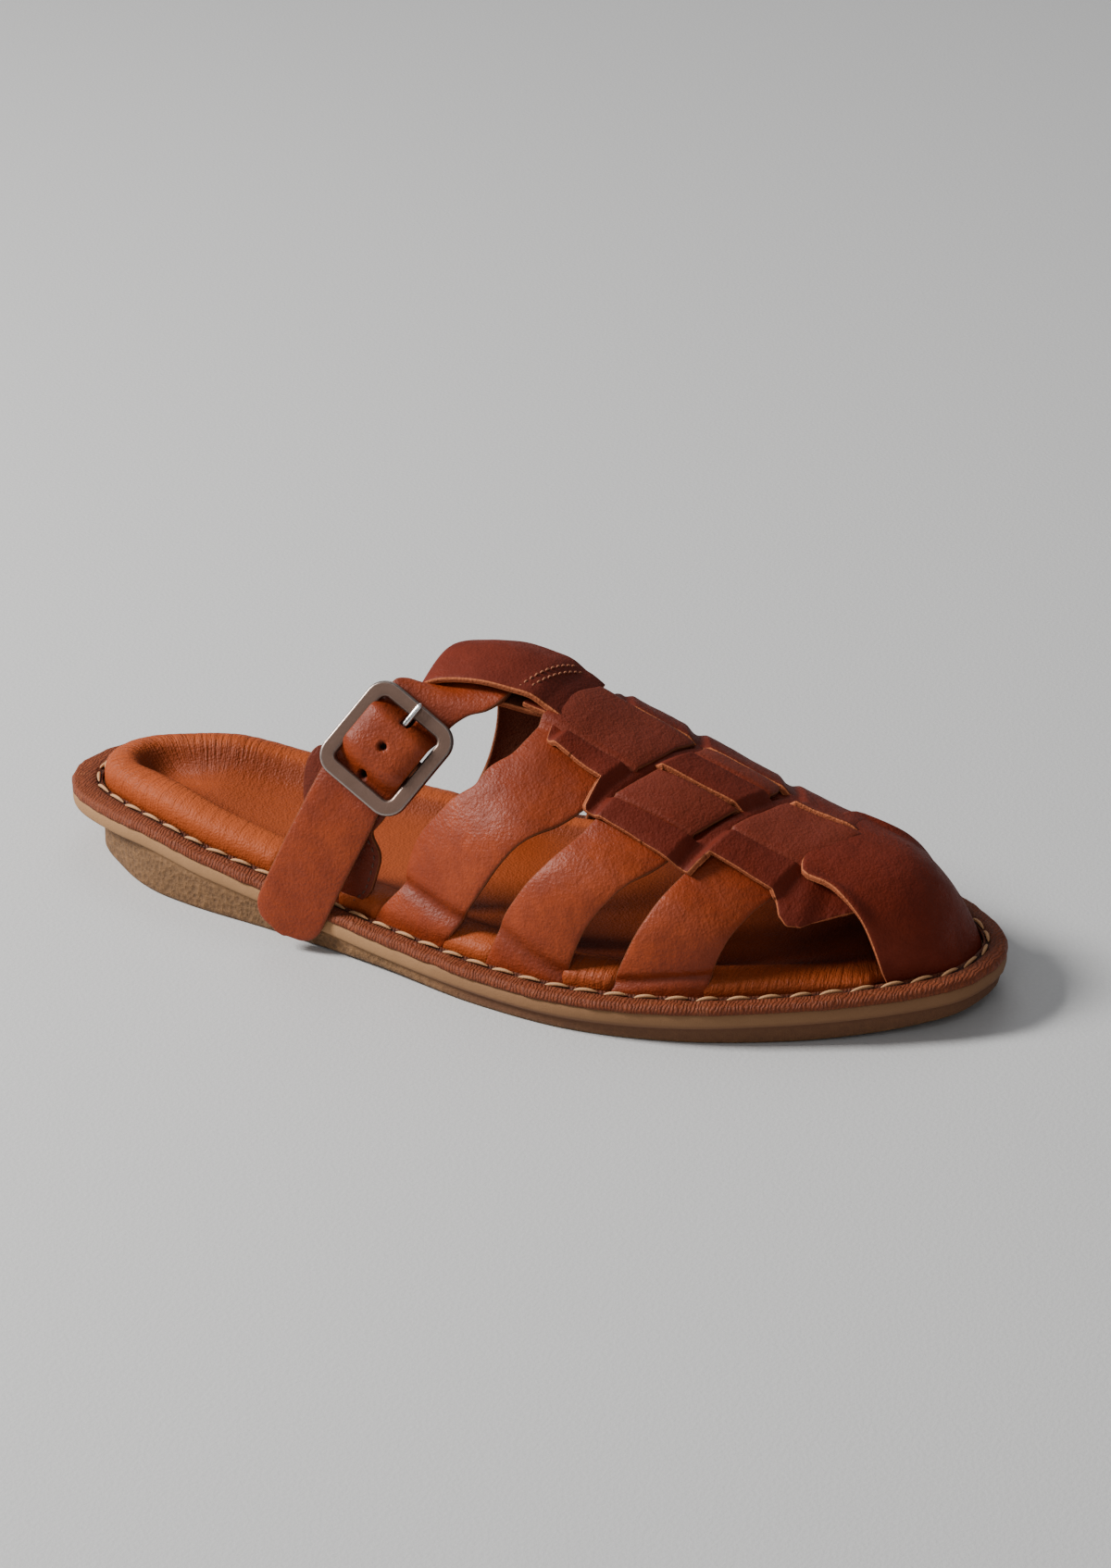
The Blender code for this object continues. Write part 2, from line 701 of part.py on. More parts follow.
Hole = namedtuple("Hole", "name run reach side")
CUT_REACH = 0.0045
HALF_FRAME = FRAME_LENGTH / 2
UNDER_RIM = -(FRAME_THICK + LEATHER) / 2 - GAP
OVER_BAR = -BAR_DROP + BAR_RADIUS + CARRIER_THICK + LEATHER / 2 + 3 * GAP
FOLD_RADIUS = BAR_RADIUS + GAP + CARRIER_THICK / 2
UNDER_TAIL = UNDER_RIM - LEATHER / 2 - CARRIER_THICK / 2 - 2 * GAP


def bulge(run):
    """Height of the instep strap's middle over the buckle's plane: under both rims, over the bar."""
    flat = 0.0040
    rise = 1 - smooth_step((abs(run) - flat) / (HALF_FRAME - FRAME_RIM - 0.0008 - flat))
    return UNDER_RIM + (OVER_BAR - UNDER_RIM) * rise


def make_instep_strap():
    """From the inner sole edge through the loop and the buckle, with its tail over the outer edge."""
    leaves = -0.20
    inner = (0.985, 0.93, 0.86, 0.78, 0.69, 0.60, 0.50, 0.40, 0.31, 0.22, 0.14, 0.07, 0.0, -0.07, -0.14)
    rows = last_rows(INSTEP, inner + (leaves,), STRAP_WIDTH, 0.0, LEATHER)
    first = last_point(path_along(INSTEP, leaves), leaves, LEATHER / 2)
    before = last_point(path_along(INSTEP, leaves + 0.03), leaves + 0.03, LEATHER / 2)
    last = buckle_point(HALF_FRAME + 0.0005, STRAP_SHIFT, UNDER_RIM)
    span = np.linalg.norm(last - first)
    start_run = unit(first - before) * span
    stop_run = -BUCKLE_RUN * span
    places = []
    normals = []
    sides = []
    edge = last_point(path_along(INSTEP, leaves) + 0.02, leaves, 0.0)
    first_side = unit(edge - last_point(path_along(INSTEP, leaves) - 0.02, leaves, 0.0))
    for t in (0.34, 0.67, 1.0):
        h = np.array([2 * t**3 - 3 * t**2 + 1, t**3 - 2 * t**2 + t, 3 * t**2 - 2 * t**3, t**3 - t**2])
        places.append(h[0] * first + h[1] * start_run + h[2] * last + h[3] * stop_run)
        normals.append(unit(BUCKLE_OUT * t + np.array([-0.35, 0.0, 0.95]) * (1 - t)))
        sides.append(unit(first_side * (1 - t) - BUCKLE_BAR * t))
    for run in (122, 102, 88, 74, 60, 40, 15, -15, -40, -60, -74, -88, -102, -122, -145):
        run = run * 1e-4
        places.append(buckle_point(run, STRAP_SHIFT, bulge(run)))
        normals.append(BUCKLE_OUT)
    start = places[-1]
    foot = last_point(INSTEP.outer, -1.0, 0.0)
    end = np.array([foot[0] - TAIL_REACH, foot[1], TAIL_END_HEIGHT])
    for t in (0.14, 0.30, 0.48, 0.66, 0.82, 0.93, 1.0):
        sag = math.sin(math.pi * t) * 0.0016
        places.append(start + (end - start) * t + BUCKLE_OUT * sag)
        normals.append(unit(BUCKLE_OUT * (1 - t) + np.array([-1.0, -0.15, 0.25]) * t))
    widths = [STRAP_WIDTH / 2] * (len(places) - 2) + [STRAP_WIDTH * 0.44, STRAP_WIDTH * 0.27]
    strap = strap_from("instep_strap", rows + flat_rows(places, normals, widths, LEATHER, sides))
    holes = [Hole("prong_hole", 0.0062, 0.0032, 0.0)]
    holes += [Hole("spare_hole_%d" % k, -HOLE_PITCH * k, HOLE_RADIUS, STRAP_SHIFT) for k in (0, 1)]
    for hole in holes:
        ring = []
        for out in (bulge(hole.run) - CUT_REACH, bulge(hole.run) + CUT_REACH):
            for k in range(8):
                angle = 2 * math.pi * k / 8
                side = hole.side + HOLE_RADIUS * math.cos(angle)
                ring.append(buckle_point(hole.run + hole.reach * math.sin(angle), side, out))
        faces = [(k, (k + 1) % 8, 8 + (k + 1) % 8, 8 + k) for k in range(8)]
        faces += [tuple(range(8)), tuple(range(8, 16))]
        cut(strap, solid(hole.name, ring, faces, UPPER_LEATHER))


def make_buckle_strap():
    """The outer carrier strap: fixed at the sole, folded round the buckle's bar, slotted for the prong."""
    rows = last_rows(CARRIER, (-0.99, -0.93, -0.86, -0.79), CARRIER_WIDTH, 0.0, CARRIER_THICK, -1)
    narrow = FRAME_WIDTH / 2 - FRAME_RIM - 4 * GAP
    places = [buckle_point(-HALF_FRAME, 0, UNDER_TAIL), buckle_point(-0.0090, 0, UNDER_TAIL)]
    places.append(buckle_point(-0.0045, 0, (UNDER_TAIL - BAR_DROP - FOLD_RADIUS) / 2))
    normals = [BUCKLE_OUT] * 3
    widths = [narrow + 0.0008, narrow, narrow]
    for angle in (-80, -45, -10, 25, 60, 95, 130, 165):
        turn = math.radians(angle)
        out = math.sin(turn) * FOLD_RADIUS - BAR_DROP
        places.append(buckle_point(math.cos(turn) * FOLD_RADIUS, 0, out))
        normals.append(-(BUCKLE_RUN * math.cos(turn) + BUCKLE_OUT * math.sin(turn)))
        widths.append(narrow)
    carrier = strap_from("buckle_strap", rows + flat_rows(places, normals, widths, CARRIER_THICK))
    corners = []
    for run in (-0.0030, 0.0060):
        for side in (-EYE_WIDTH / 2, EYE_WIDTH / 2):
            for out in (-BAR_DROP - 0.0050, 0.0030):
                corners.append(buckle_point(run, side, out))
    faces = [(0, 1, 3, 2), (4, 5, 7, 6), (0, 1, 5, 4), (2, 3, 7, 6), (0, 2, 6, 4), (1, 3, 7, 5)]
    cut(carrier, solid("prong_slot", corners, faces, UPPER_LEATHER))


Loop = namedtuple("Loop", "shrink level")
# Section of the buckle's rim: how far inside the outline, and its level as a share of half the thickness
RIM_SECTION = [
    Loop(0.0004, -1.0),
    Loop(0.0, -0.7),
    Loop(0.0, 0.45),
    Loop(0.0009, 1.0),
    Loop(FRAME_RIM - 0.0006, 0.8),
    Loop(FRAME_RIM, 0.4),
    Loop(FRAME_RIM, -1.0),
]


def make_buckle_frame():
    """A rounded frame with a bar across its middle."""
    points = []
    for loop in RIM_SECTION:
        radius = max(FRAME_CORNER - loop.shrink, 0.0018)
        long = HALF_FRAME - loop.shrink - radius
        wide = FRAME_WIDTH / 2 - loop.shrink - radius
        for quarter, (sx, sy) in enumerate(((1, 1), (-1, 1), (-1, -1), (1, -1))):
            for k in range(5):
                angle = (quarter + k / 4) * math.pi / 2
                run = sx * long + radius * math.cos(angle)
                side = sy * wide + radius * math.sin(angle)
                points.append(buckle_point(run, side, loop.level * FRAME_THICK / 2))
    around = 20
    faces = []
    for r in range(len(RIM_SECTION)):
        low = r * around
        high = (r + 1) % len(RIM_SECTION) * around
        for k in range(around):
            n = (k + 1) % around
            faces.append((low + k, low + n, high + n, high + k))
    frame = solid("buckle_frame", points, faces, GUNMETAL)
    reach = FRAME_WIDTH / 2 - FRAME_RIM / 2
    ends = [buckle_point(0, side, -BAR_DROP) for side in (-reach, reach)]
    bar = rod("frame_bar", ends, BAR_RADIUS)
    bar.hide_render = True
    bar.display_type = "WIRE"
    join = frame.modifiers.new("join_bar", "BOOLEAN")
    join.operation = "UNION"
    join.solver = "EXACT"
    join.object = bar


def make_prong():
    """A round prong curled round the bar, up through the strap, its tip resting on the frame."""
    curl = BAR_RADIUS + GAP + PRONG_RADIUS
    path = []
    for angle in (185, 215, 245, 275, 305, 335, 0, 30, 60):
        turn = math.radians(angle)
        path.append(buckle_point(math.cos(turn) * curl, 0, math.sin(turn) * curl - BAR_DROP))
    rest = FRAME_THICK / 2 + GAP + PRONG_RADIUS
    for run, out in ((0.0030, 0.0007), (0.0050, 0.0010), (0.0075, 0.0017), (0.0100, 0.0022)):
        path.append(buckle_point(run, 0, out))
    for run in (HALF_FRAME - FRAME_RIM * 0.6, HALF_FRAME + 0.0003):
        out = rest
        path.append(buckle_point(run, 0, out))
    rod("buckle_prong", path, PRONG_RADIUS)


make_outsole()
make_strip()
make_footbed()
make_upper()
make_instep_strap()
make_buckle_strap()
make_buckle_frame()
make_prong()
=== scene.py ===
"""Dresses the fisherman sandal: leather, stitches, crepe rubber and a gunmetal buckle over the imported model."""

import math

import bpy
import numpy as np
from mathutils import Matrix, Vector, noise


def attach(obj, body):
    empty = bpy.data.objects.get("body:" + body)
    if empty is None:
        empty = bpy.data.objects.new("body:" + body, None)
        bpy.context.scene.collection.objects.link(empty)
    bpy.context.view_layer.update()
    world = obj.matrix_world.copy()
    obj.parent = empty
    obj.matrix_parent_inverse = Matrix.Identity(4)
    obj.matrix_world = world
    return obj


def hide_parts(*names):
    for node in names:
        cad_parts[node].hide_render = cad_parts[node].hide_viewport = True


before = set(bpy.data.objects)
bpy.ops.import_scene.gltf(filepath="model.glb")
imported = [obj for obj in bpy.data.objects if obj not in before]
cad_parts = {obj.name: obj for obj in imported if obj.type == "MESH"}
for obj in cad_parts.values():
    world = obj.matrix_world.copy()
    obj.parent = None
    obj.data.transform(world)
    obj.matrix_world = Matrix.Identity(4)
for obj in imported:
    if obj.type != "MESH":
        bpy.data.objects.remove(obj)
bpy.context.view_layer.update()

# Studio floor: one plain pale sweep that the shoe stands on. Painted board in real life,
# lit by a strong lamp from behind the heel and two broad, weak ones from the front and the far side.
scene = bpy.context.scene


def arithmetic(operation, swapped=False):
    """A sign of arithmetic on a Link: one Math node, with the other number first where it is swapped."""
    if swapped:
        return lambda link, other: link.finish.sum(operation, other, link)
    return lambda link, other: link.finish.sum(operation, link, other)


class Link:
    """A socket of a material, with the signs of arithmetic turned into Math nodes."""

    def __init__(self, finish, socket):
        self.finish = finish
        self.socket = socket

    __add__, __radd__ = arithmetic("ADD"), arithmetic("ADD", True)
    __sub__, __rsub__ = arithmetic("SUBTRACT"), arithmetic("SUBTRACT", True)
    __mul__, __rmul__ = arithmetic("MULTIPLY"), arithmetic("MULTIPLY", True)


def new_node(tree, kind, settings, values):
    """A node with its settings made; inputs are set or linked by name, or by number as i0, i1 and on."""
    made = tree.nodes.new(kind)
    for key, value in (settings or {}).items():
        setattr(made, key, value)
    for key, value in values.items():
        numbered = key[0] == "i" and key[1:].isdigit()
        socket = made.inputs[int(key[1:]) if numbered else key.replace("_", " ")]
        if isinstance(value, bpy.types.NodeSocket):
            tree.links.new(value, socket)
        else:
            socket.default_value = value
    return made


class Finish:
    """One material: a Principled shader and the nodes that feed it."""

    def __init__(self, name, **fixed):
        self.material = bpy.data.materials.new(name)
        self.material.use_nodes = True
        self.tree = self.material.node_tree
        self.shader = self.tree.nodes["Principled BSDF"]
        for socket, value in fixed.items():
            self.shader.inputs[socket.replace("_", " ")].default_value = value

    def node(self, kind, settings=None, out=0, **values):
        values = {key: value.socket if isinstance(value, Link) else value for key, value in values.items()}
        return Link(self, new_node(self.tree, "ShaderNode" + kind, settings, values).outputs[out])

    def sum(self, operation, a, b):
        return self.node("Math", {"operation": operation}, i0=a, i1=b)

    def between(self, value, low, high):
        """0 below low, 1 above high, smooth between."""
        return self.node("MapRange", {"interpolation_type": "SMOOTHSTEP"}, i0=value, i1=low, i2=high)

    def blend(self, share, first, second):
        first = first if isinstance(first, Link) else (*first, 1)
        second = second if isinstance(second, Link) else (*second, 1)
        return self.node("Mix", {"data_type": "RGBA"}, out=2, i0=share, i6=first, i7=second)

    def place(self):
        return self.node("TexCoord", out=3)

    def seen(self, name):
        return self.node("Attribute", {"attribute_name": name}, out=2)

    def noise(self, scale, detail=3.0, roughness=0.55, at=None, distortion=0.0):
        at = at or self.place()
        return self.node(
            "TexNoise", Vector=at, Scale=scale, Detail=detail, Roughness=roughness, Distortion=distortion
        )

    def cells(self, scale):
        return self.node("TexVoronoi", Vector=self.place(), Scale=scale)

    def stretched(self, scales, at=None):
        return self.node("Mapping", Vector=at or self.place(), Scale=scales)

    def wear(self, colour, roughness, height, depth):
        """Feeds the shader: colour, roughness, and a height in shares of a depth in metres."""
        for socket, value in (("Base Color", colour), ("Roughness", roughness)):
            if value is not None:
                self.tree.links.new(value.socket, self.shader.inputs[socket])
        bump = self.node("Bump", Strength=1.0, Distance=depth, Height=height)
        self.tree.links.new(bump.socket, self.shader.inputs["Normal"])
        return self.material


def linked(name, data):
    """An object of the scene that shows this mesh, light or camera."""
    made = bpy.data.objects.new(name, data)
    scene.collection.objects.link(made)
    return made


def aimed(name, data, place, aim):
    """A light or camera at a place, turned to a point."""
    made = linked(name, data)
    made.location = place
    made.rotation_euler = (Vector(aim) - Vector(place)).to_track_quat("-Z", "Y").to_euler()
    return made


def put(name, points, faces, material):
    """A smooth mesh object at the origin from points and faces in the shoe's own place."""
    mesh = bpy.data.meshes.new(name)
    mesh.from_pydata([tuple(p) for p in points], [], faces)
    mesh.materials.append(material)
    made = linked(name, mesh)
    mesh.shade_smooth()
    return made


def mark(made, label, values):
    """Gives every point of a mesh a number that its material reads."""
    values = np.asarray(values, np.float32).ravel()
    made.data.attributes.new(label, "FLOAT", "POINT").data.foreach_set("value", values)


board = Finish("pale_board", Roughness=0.85)
speckle = board.noise(900.0, 2.0)
board.wear(board.blend(speckle, (0.54, 0.54, 0.54), (0.61, 0.61, 0.61)), None, speckle, 0.0001)
floor = put("floor", [(-6, -6, 0), (6, -6, 0), (6, 6, 0), (-6, 6, 0)], [(0, 1, 2, 3)], board.material)

world = bpy.data.worlds.new("studio")
world.use_nodes = True
world.node_tree.nodes["Background"].inputs["Color"].default_value = (0.95, 0.97, 1.0, 1)
world.node_tree.nodes["Background"].inputs["Strength"].default_value = 0.20
scene.world = world


def soft_box(name, place, aim, size, power, colour):
    """A square or oblong lamp, its size in metres and its power in watts."""
    light = bpy.data.lights.new(name, "AREA")
    light.shape = "RECTANGLE"
    light.size, light.size_y = size
    light.energy = power
    light.color = colour
    aimed(name, light, place, aim)


LIT_POINT = (0, 0, 0.03)
soft_box("key", (-0.50, 1.15, 1.00), LIT_POINT, (0.42, 0.42), 44.0, (1.0, 0.985, 0.96))
soft_box("front", (-1.4, -0.4, 1.1), LIT_POINT, (1.0, 1.0), 4.5, (1.0, 0.99, 0.98))
soft_box("far", (0.9, 0.4, 1.3), LIT_POINT, (0.9, 0.9), 4.0, (0.97, 0.98, 1.0))

# Camera: where the photograph was taken from, at about 1.2 m, aimed at this one shoe.
camera_data = bpy.data.cameras.new("camera")
camera_data.lens = 104.0
camera_data.sensor_width = 36.0
camera_data.sensor_fit = "AUTO"
scene.camera = aimed("camera", camera_data, (-0.9660, -0.4504, 0.5597), (0.010, -0.006, 0.036))

# Outsole: one unit of natural crepe rubber. A smooth flange overhangs a body with a crumbly
# crepe wall, which is set back under the heel; both are moulded in one piece.
SOLE_LENGTH = 0.265
BALL_WIDTH = 0.103
HEEL_HEIGHT = 0.018
FLANGE_THICK = 0.0042
GAP = 0.0003
TOE_SPRING = 0.0042
ARCH_OUTER, ARCH_INNER = 0.0008, 0.0035
BODY_SETBACK, HEEL_SETBACK = 0.0015, 0.0085
HEEL_DIP = 0.0022
# Points of each ring round the sole: half of them on the outer side, then half on the inner side
HALF = 200
RING = 2 * HALF
# Shares of the length from the heel, and of the ball width on the outer and on the inner side
OUTLINE = [
    (0.02, 0.141, 0.136), (0.08, 0.243, 0.238), (0.18, 0.320, 0.311), (0.30, 0.364, 0.350),
    (0.42, 0.432, 0.388), (0.54, 0.500, 0.437), (0.64, 0.519, 0.481), (0.74, 0.471, 0.505),
    (0.83, 0.372, 0.471), (0.90, 0.272, 0.388), (0.955, 0.170, 0.272), (0.985, 0.085, 0.185),
]
FLANGE = [
    (0, 0.97), (0.12, 1.0), (0.22, 0.81), (0.32, 0.62), (0.45, 0.49), (0.60, 0.45), (0.75, 0.49), (0.88, 0.57),
    (1, 0.69),
]


def hermite(t):
    """Weights of a cubic's first value and slope, and of its last value and slope."""
    return 2 * t**3 - 3 * t**2 + 1, t**3 - 2 * t**2 + t, 3 * t**2 - 2 * t**3, t**3 - t**2


def read(table, along, column=1):
    """A smooth monotone curve through a table's rows, read at many shares of the length."""
    xs = np.array([row[0] for row in table], float)
    ys = np.array([row[column] for row in table], float)
    steps = np.diff(xs)
    slopes = np.diff(ys) / steps
    tangents = np.zeros(len(xs))
    tangents[0], tangents[-1] = slopes[0], slopes[-1]
    for i in range(1, len(xs) - 1):
        if slopes[i - 1] * slopes[i] > 0:
            before = 2 * steps[i] + steps[i - 1]
            after = steps[i] + 2 * steps[i - 1]
            tangents[i] = (before + after) / (before / slopes[i - 1] + after / slopes[i])
    along = np.clip(np.asarray(along, float), xs[0], xs[-1])
    i = np.clip(np.searchsorted(xs, along) - 1, 0, len(xs) - 2)
    h = hermite((along - xs[i]) / steps[i])
    return (
        h[0] * ys[i] + h[1] * steps[i] * tangents[i] + h[2] * ys[i + 1] + h[3] * steps[i] * tangents[i + 1]
    )


def ease(value):
    """0 below 0, 1 above 1, smooth between."""
    value = np.clip(value, 0.0, 1.0)
    return value * value * (3 - 2 * value)


def y_at(along):
    """Y of a share of the length from the heel."""
    return SOLE_LENGTH * (0.5 - along)


def lengths(points):
    """How far along a path each of its points lies."""
    return np.concatenate([[0], np.cumsum(np.linalg.norm(np.diff(points, axis=0), axis=1))])


def spline_through(points, count):
    """Evenly spaced points on a centripetal spline through the given ones, the ends included."""
    points = np.array(points, float)
    full = np.vstack([2 * points[0] - points[1], points, 2 * points[-1] - points[-2]])
    fine = []
    for i in range(1, len(full) - 2):
        p0, p1, p2, p3 = full[i - 1 : i + 3]
        t1 = math.sqrt(np.linalg.norm(p1 - p0))
        t2 = t1 + math.sqrt(np.linalg.norm(p2 - p1))
        t3 = t2 + math.sqrt(np.linalg.norm(p3 - p2))
        for t in np.linspace(t1, t2, 12, endpoint=False):
            a1 = (t1 - t) / t1 * p0 + t / t1 * p1
            a2 = (t2 - t) / (t2 - t1) * p1 + (t - t1) / (t2 - t1) * p2
            a3 = (t3 - t) / (t3 - t2) * p2 + (t - t2) / (t3 - t2) * p3
            b1 = (t2 - t) / t2 * a1 + t / t2 * a2
            b2 = (t3 - t) / (t3 - t1) * a2 + (t - t1) / (t3 - t1) * a3
            fine.append((t2 - t) / (t2 - t1) * b1 + (t - t1) / (t2 - t1) * b2)
    fine.append(full[-2])
    fine = np.array(fine)
    length = lengths(fine)
    wanted = np.linspace(0, length[-1], count)
    return np.stack([np.interp(wanted, length, fine[:, k]) for k in range(fine.shape[1])], axis=1)


def sole_outline():
    """The flange's outline seen from above: heel, outer side, toe, then back along the inner side."""
    outer = [(-row[1] * BALL_WIDTH, y_at(row[0])) for row in OUTLINE]
    inner = [(row[2] * BALL_WIDTH, y_at(row[0])) for row in OUTLINE]
    heel = (0.0, y_at(0))
    toe = (0.075 * BALL_WIDTH, y_at(1))
    lead_in = [inner[1], inner[0], heel] + outer + [toe, inner[-1], inner[-2]]
    lead_back = [outer[-2], outer[-1], toe] + inner[::-1] + [heel, outer[0], outer[1]]
    sides = []
    for path in (lead_in, lead_back):
        fine = spline_through(path, 400)
        first = int(np.argmin(np.linalg.norm(fine - np.array(path[2]), axis=1)))
        last = int(np.argmin(np.linalg.norm(fine - np.array(path[-3]), axis=1)))
        sides.append(spline_through(fine[first : last + 1 : 6], HALF + 1)[:-1])
    return np.vstack(sides)


EDGE = sole_outline()
ALONG = np.clip(0.5 - EDGE[:, 1] / SOLE_LENGTH, 0, 1)
CENTRE = np.append((EDGE.min(axis=0) + EDGE.max(axis=0)) / 2, 0.0)
FROM_END = np.minimum(ALONG, 1 - ALONG)
HELD = np.where(FROM_END < 0.24, 0.14 + np.clip(FROM_END - 0.04, 0, None) ** 2 / 0.4, FROM_END)
HELD = np.where(ALONG < 0.5, HELD, 1 - HELD)
SPINE = np.stack([(read(OUTLINE, HELD, 2) - read(OUTLINE, HELD, 1)) / 2 * BALL_WIDTH, y_at(HELD)], axis=1)
INWARD = (SPINE - EDGE) / np.linalg.norm(SPINE - EDGE, axis=1)[:, None]
FLANGE_TOP = read(FLANGE, ALONG) * HEEL_HEIGHT
HEEL_SHARE = 1 - ease(ALONG / 0.16)
RUN = lengths(EDGE)


def inset(distance):
    """The outline moved inwards, by one distance or by one for each point."""
    return EDGE + INWARD * np.broadcast_to(distance, RING)[:, None]


def towards_spine(ring, share):
    """A ring drawn together towards the sole's middle line."""
    return ring + (SPINE - ring) * share


def wobble(points, scale, seed):
    """A smooth random number from -1 to 1 at each point, always the same for one seed."""
    return np.array([noise.noise(Vector(p) * scale + Vector((seed, seed * 1.7, 0))) for p in points])


def ring_piece(name, rings, material, hollow=False):
    """Rings of outline points joined one to the next, closed over the sole's middle line, with a band map."""
    points = np.vstack([np.column_stack([xy, np.broadcast_to(z, RING)]) for xy, z in rings]) - CENTRE
    count = len(rings)
    faces, corners = [], []
    around = np.append(RUN, RUN[-1] + np.linalg.norm(EDGE[0] - EDGE[-1]))
    stack = points.reshape(count, RING, 3)
    across = np.concatenate([[0], np.cumsum(np.linalg.norm(np.diff(stack, axis=0), axis=2).mean(axis=1))])
    for r in range(count if hollow else count - 1):
        low, high = r * RING, (r + 1) % count * RING
        top = across[r] + 0.002 if r + 1 == count else across[r + 1]
        for i in range(RING):
            j = (i + 1) % RING
            faces.append((low + i, low + j, high + j, high + i))
            left, right = around[i], around[i + 1]
            corners += [(left, across[r]), (right, across[r]), (right, top), (left, top)]
    if not hollow:
        for low, flip in ((0, True), ((count - 1) * RING, False)):
            for i in range(HALF):
                a, b, c, d = low + i, low + i + 1, low + (RING - i - 1) % RING, low + (RING - i) % RING
                face = (a, b, c) if i == 0 else (a, b, d) if i == HALF - 1 else (a, b, c, d)
                face = tuple(dict.fromkeys(face))
                faces.append(face[::-1] if flip else face)
                corners += [(points[v][1], points[v][0]) for v in faces[-1]]
    made = put(name, points, faces, material)
    made.data.uv_layers.new(name="band").data.foreach_set("uv", np.array(corners, np.float32).ravel())
    return made


# The welt strip's inner edge, the footbed's seat inside it, and the seat's level, lower at the heel
STRIP_INNER = 0.0062 + 0.0023 * HEEL_SHARE
SEAT = inset(STRIP_INNER + 0.0020)
DIP = FLANGE_TOP - HEEL_DIP * (1 - ease((ALONG - 0.25) / 0.2))
OUTER_SIDE = np.arange(RING) < HALF


def outsole_rings():
    """Rings from the middle of the underside, out round the flange, and in to the middle of its top."""
    arch = ARCH_OUTER + (ARCH_INNER - ARCH_OUTER) * np.where(OUTER_SIDE, 0.0, 1.0)
    rise = np.sin(math.pi * np.clip((ALONG - 0.30) / 0.24, 0, 1)) ** 2
    spring = TOE_SPRING * np.clip((ALONG - 0.80) / 0.20, 0, None) ** 2
    bottom = arch * rise + spring
    flat = 0.00215 * rise + spring
    back = BODY_SETBACK + (HEEL_SETBACK - BODY_SETBACK) * HEEL_SHARE
    under = FLANGE_TOP - FLANGE_THICK
    body, foot = inset(back), inset(back + 0.0012)
    rings = [(towards_spine(foot, 0.85), flat), (towards_spine(foot, 0.35), (flat + bottom) / 2)]
    rings += [(inset(back + 0.004), bottom), (foot, bottom)]
    rings += [(inset(back + 0.0004), bottom + 0.0003), (body, bottom + 0.0012)]
    for t in (0.2, 0.4, 0.6, 0.8):
        rings.append((body, bottom + 0.0012 + (under - 0.0020 - bottom) * t))
    rings += [(body, under - 0.0008), (inset(back * 0.85), under - 0.0001)]
    rings += [(inset(back * 0.5), under), (inset(0.0012), under)]
    for t in np.linspace(0, 1, 9):
        turn = (t - 0.5) * math.pi
        rings.append((inset(0.0007 * (1 - math.cos(turn))), under + FLANGE_THICK / 2 * (1 + math.sin(turn))))
    rings += [(inset(0.0012), FLANGE_TOP), (SEAT, FLANGE_TOP)]
    return rings + [(towards_spine(SEAT, share), DIP) for share in (0.35, 0.85)]


crepe = Finish("crepe_rubber", Roughness=0.8)
wall = crepe.seen("crumb")
crumb = crepe.cells(620.0) * 0.6 + crepe.noise(1500.0, 4.0, 0.7) * 0.6
patch = crepe.noise(45.0, 3.0)
smooth_rubber = crepe.blend(patch, (0.275, 0.136, 0.052), (0.370, 0.196, 0.084))
# Painted shade: the smooth rubber darkens towards the toe, where the front lies in shadow
smooth_rubber = crepe.blend(crepe.seen("toe_shade"), smooth_rubber, (0.110, 0.036, 0.014))
crumbly = crepe.blend(crumb, (0.066, 0.028, 0.0085), (0.240, 0.116, 0.040))
crepe.wear(
    crepe.blend(wall, smooth_rubber, crumbly),
    None,
    crumb * wall + crepe.noise(2600.0, 2.0) * 0.10 + crepe.noise(160.0, 2.0) * 0.25,
    0.0009,
)
rings = outsole_rings()
outsole = ring_piece("outsole_rubber", rings, crepe.material)
# Rings 0 to 9 are the underside and the crepe wall, 10 to 13 the flange's underside, 14 to 22 its
# rounded edge, and the rest its top
crumb_share = np.zeros((len(rings), RING))
crumb_share[0:10] = 1.0
crumb_share[10:12] = 0.5
front = ease((ALONG - 0.40) / 0.15)
crumb_share[5:12] *= 1 - front * 0.75
# Painted shade, growing towards the toe: strongest low on the body and the flange's underside, less on its edge and
# top
toe_shade = np.zeros((len(rings), RING))
toe_shade[2:13] = front * 0.95
toe_shade[13:17] = front * 0.65
toe_shade[17:] = front * 0.38 + ease((ALONG - 0.78) / 0.16) * 0.15
mark(outsole, "crumb", crumb_share)
mark(outsole, "toe_shade", toe_shade)
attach(outsole, "root")
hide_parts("outsole")

# Welt strip: a band of dark red-brown leather laid on the flange and stitched down. Its outer
# edge is cut raw and wavy, and a groove near its inner edge holds the saddle stitches.
STRIP_THICK = 0.0019
strip_red = Finish("strip_leather", Specular_IOR_Level=0.25)
grain = strip_red.noise(700.0, 4.0, 0.65)
hatch = strip_red.node(
    "TexWave", {"bands_direction": "Y"}, Vector=strip_red.place(), Scale=330.0, Distortion=9.0, Detail=3.0
)
tear = strip_red.between(strip_red.noise(230.0, 5.0, 0.7), 0.56, 0.68)
strip_colour = strip_red.blend(grain, (0.100, 0.0190, 0.0060), (0.290, 0.066, 0.0190))
strip_colour = strip_red.blend(hatch * 0.35, strip_colour, (0.035, 0.008, 0.004))
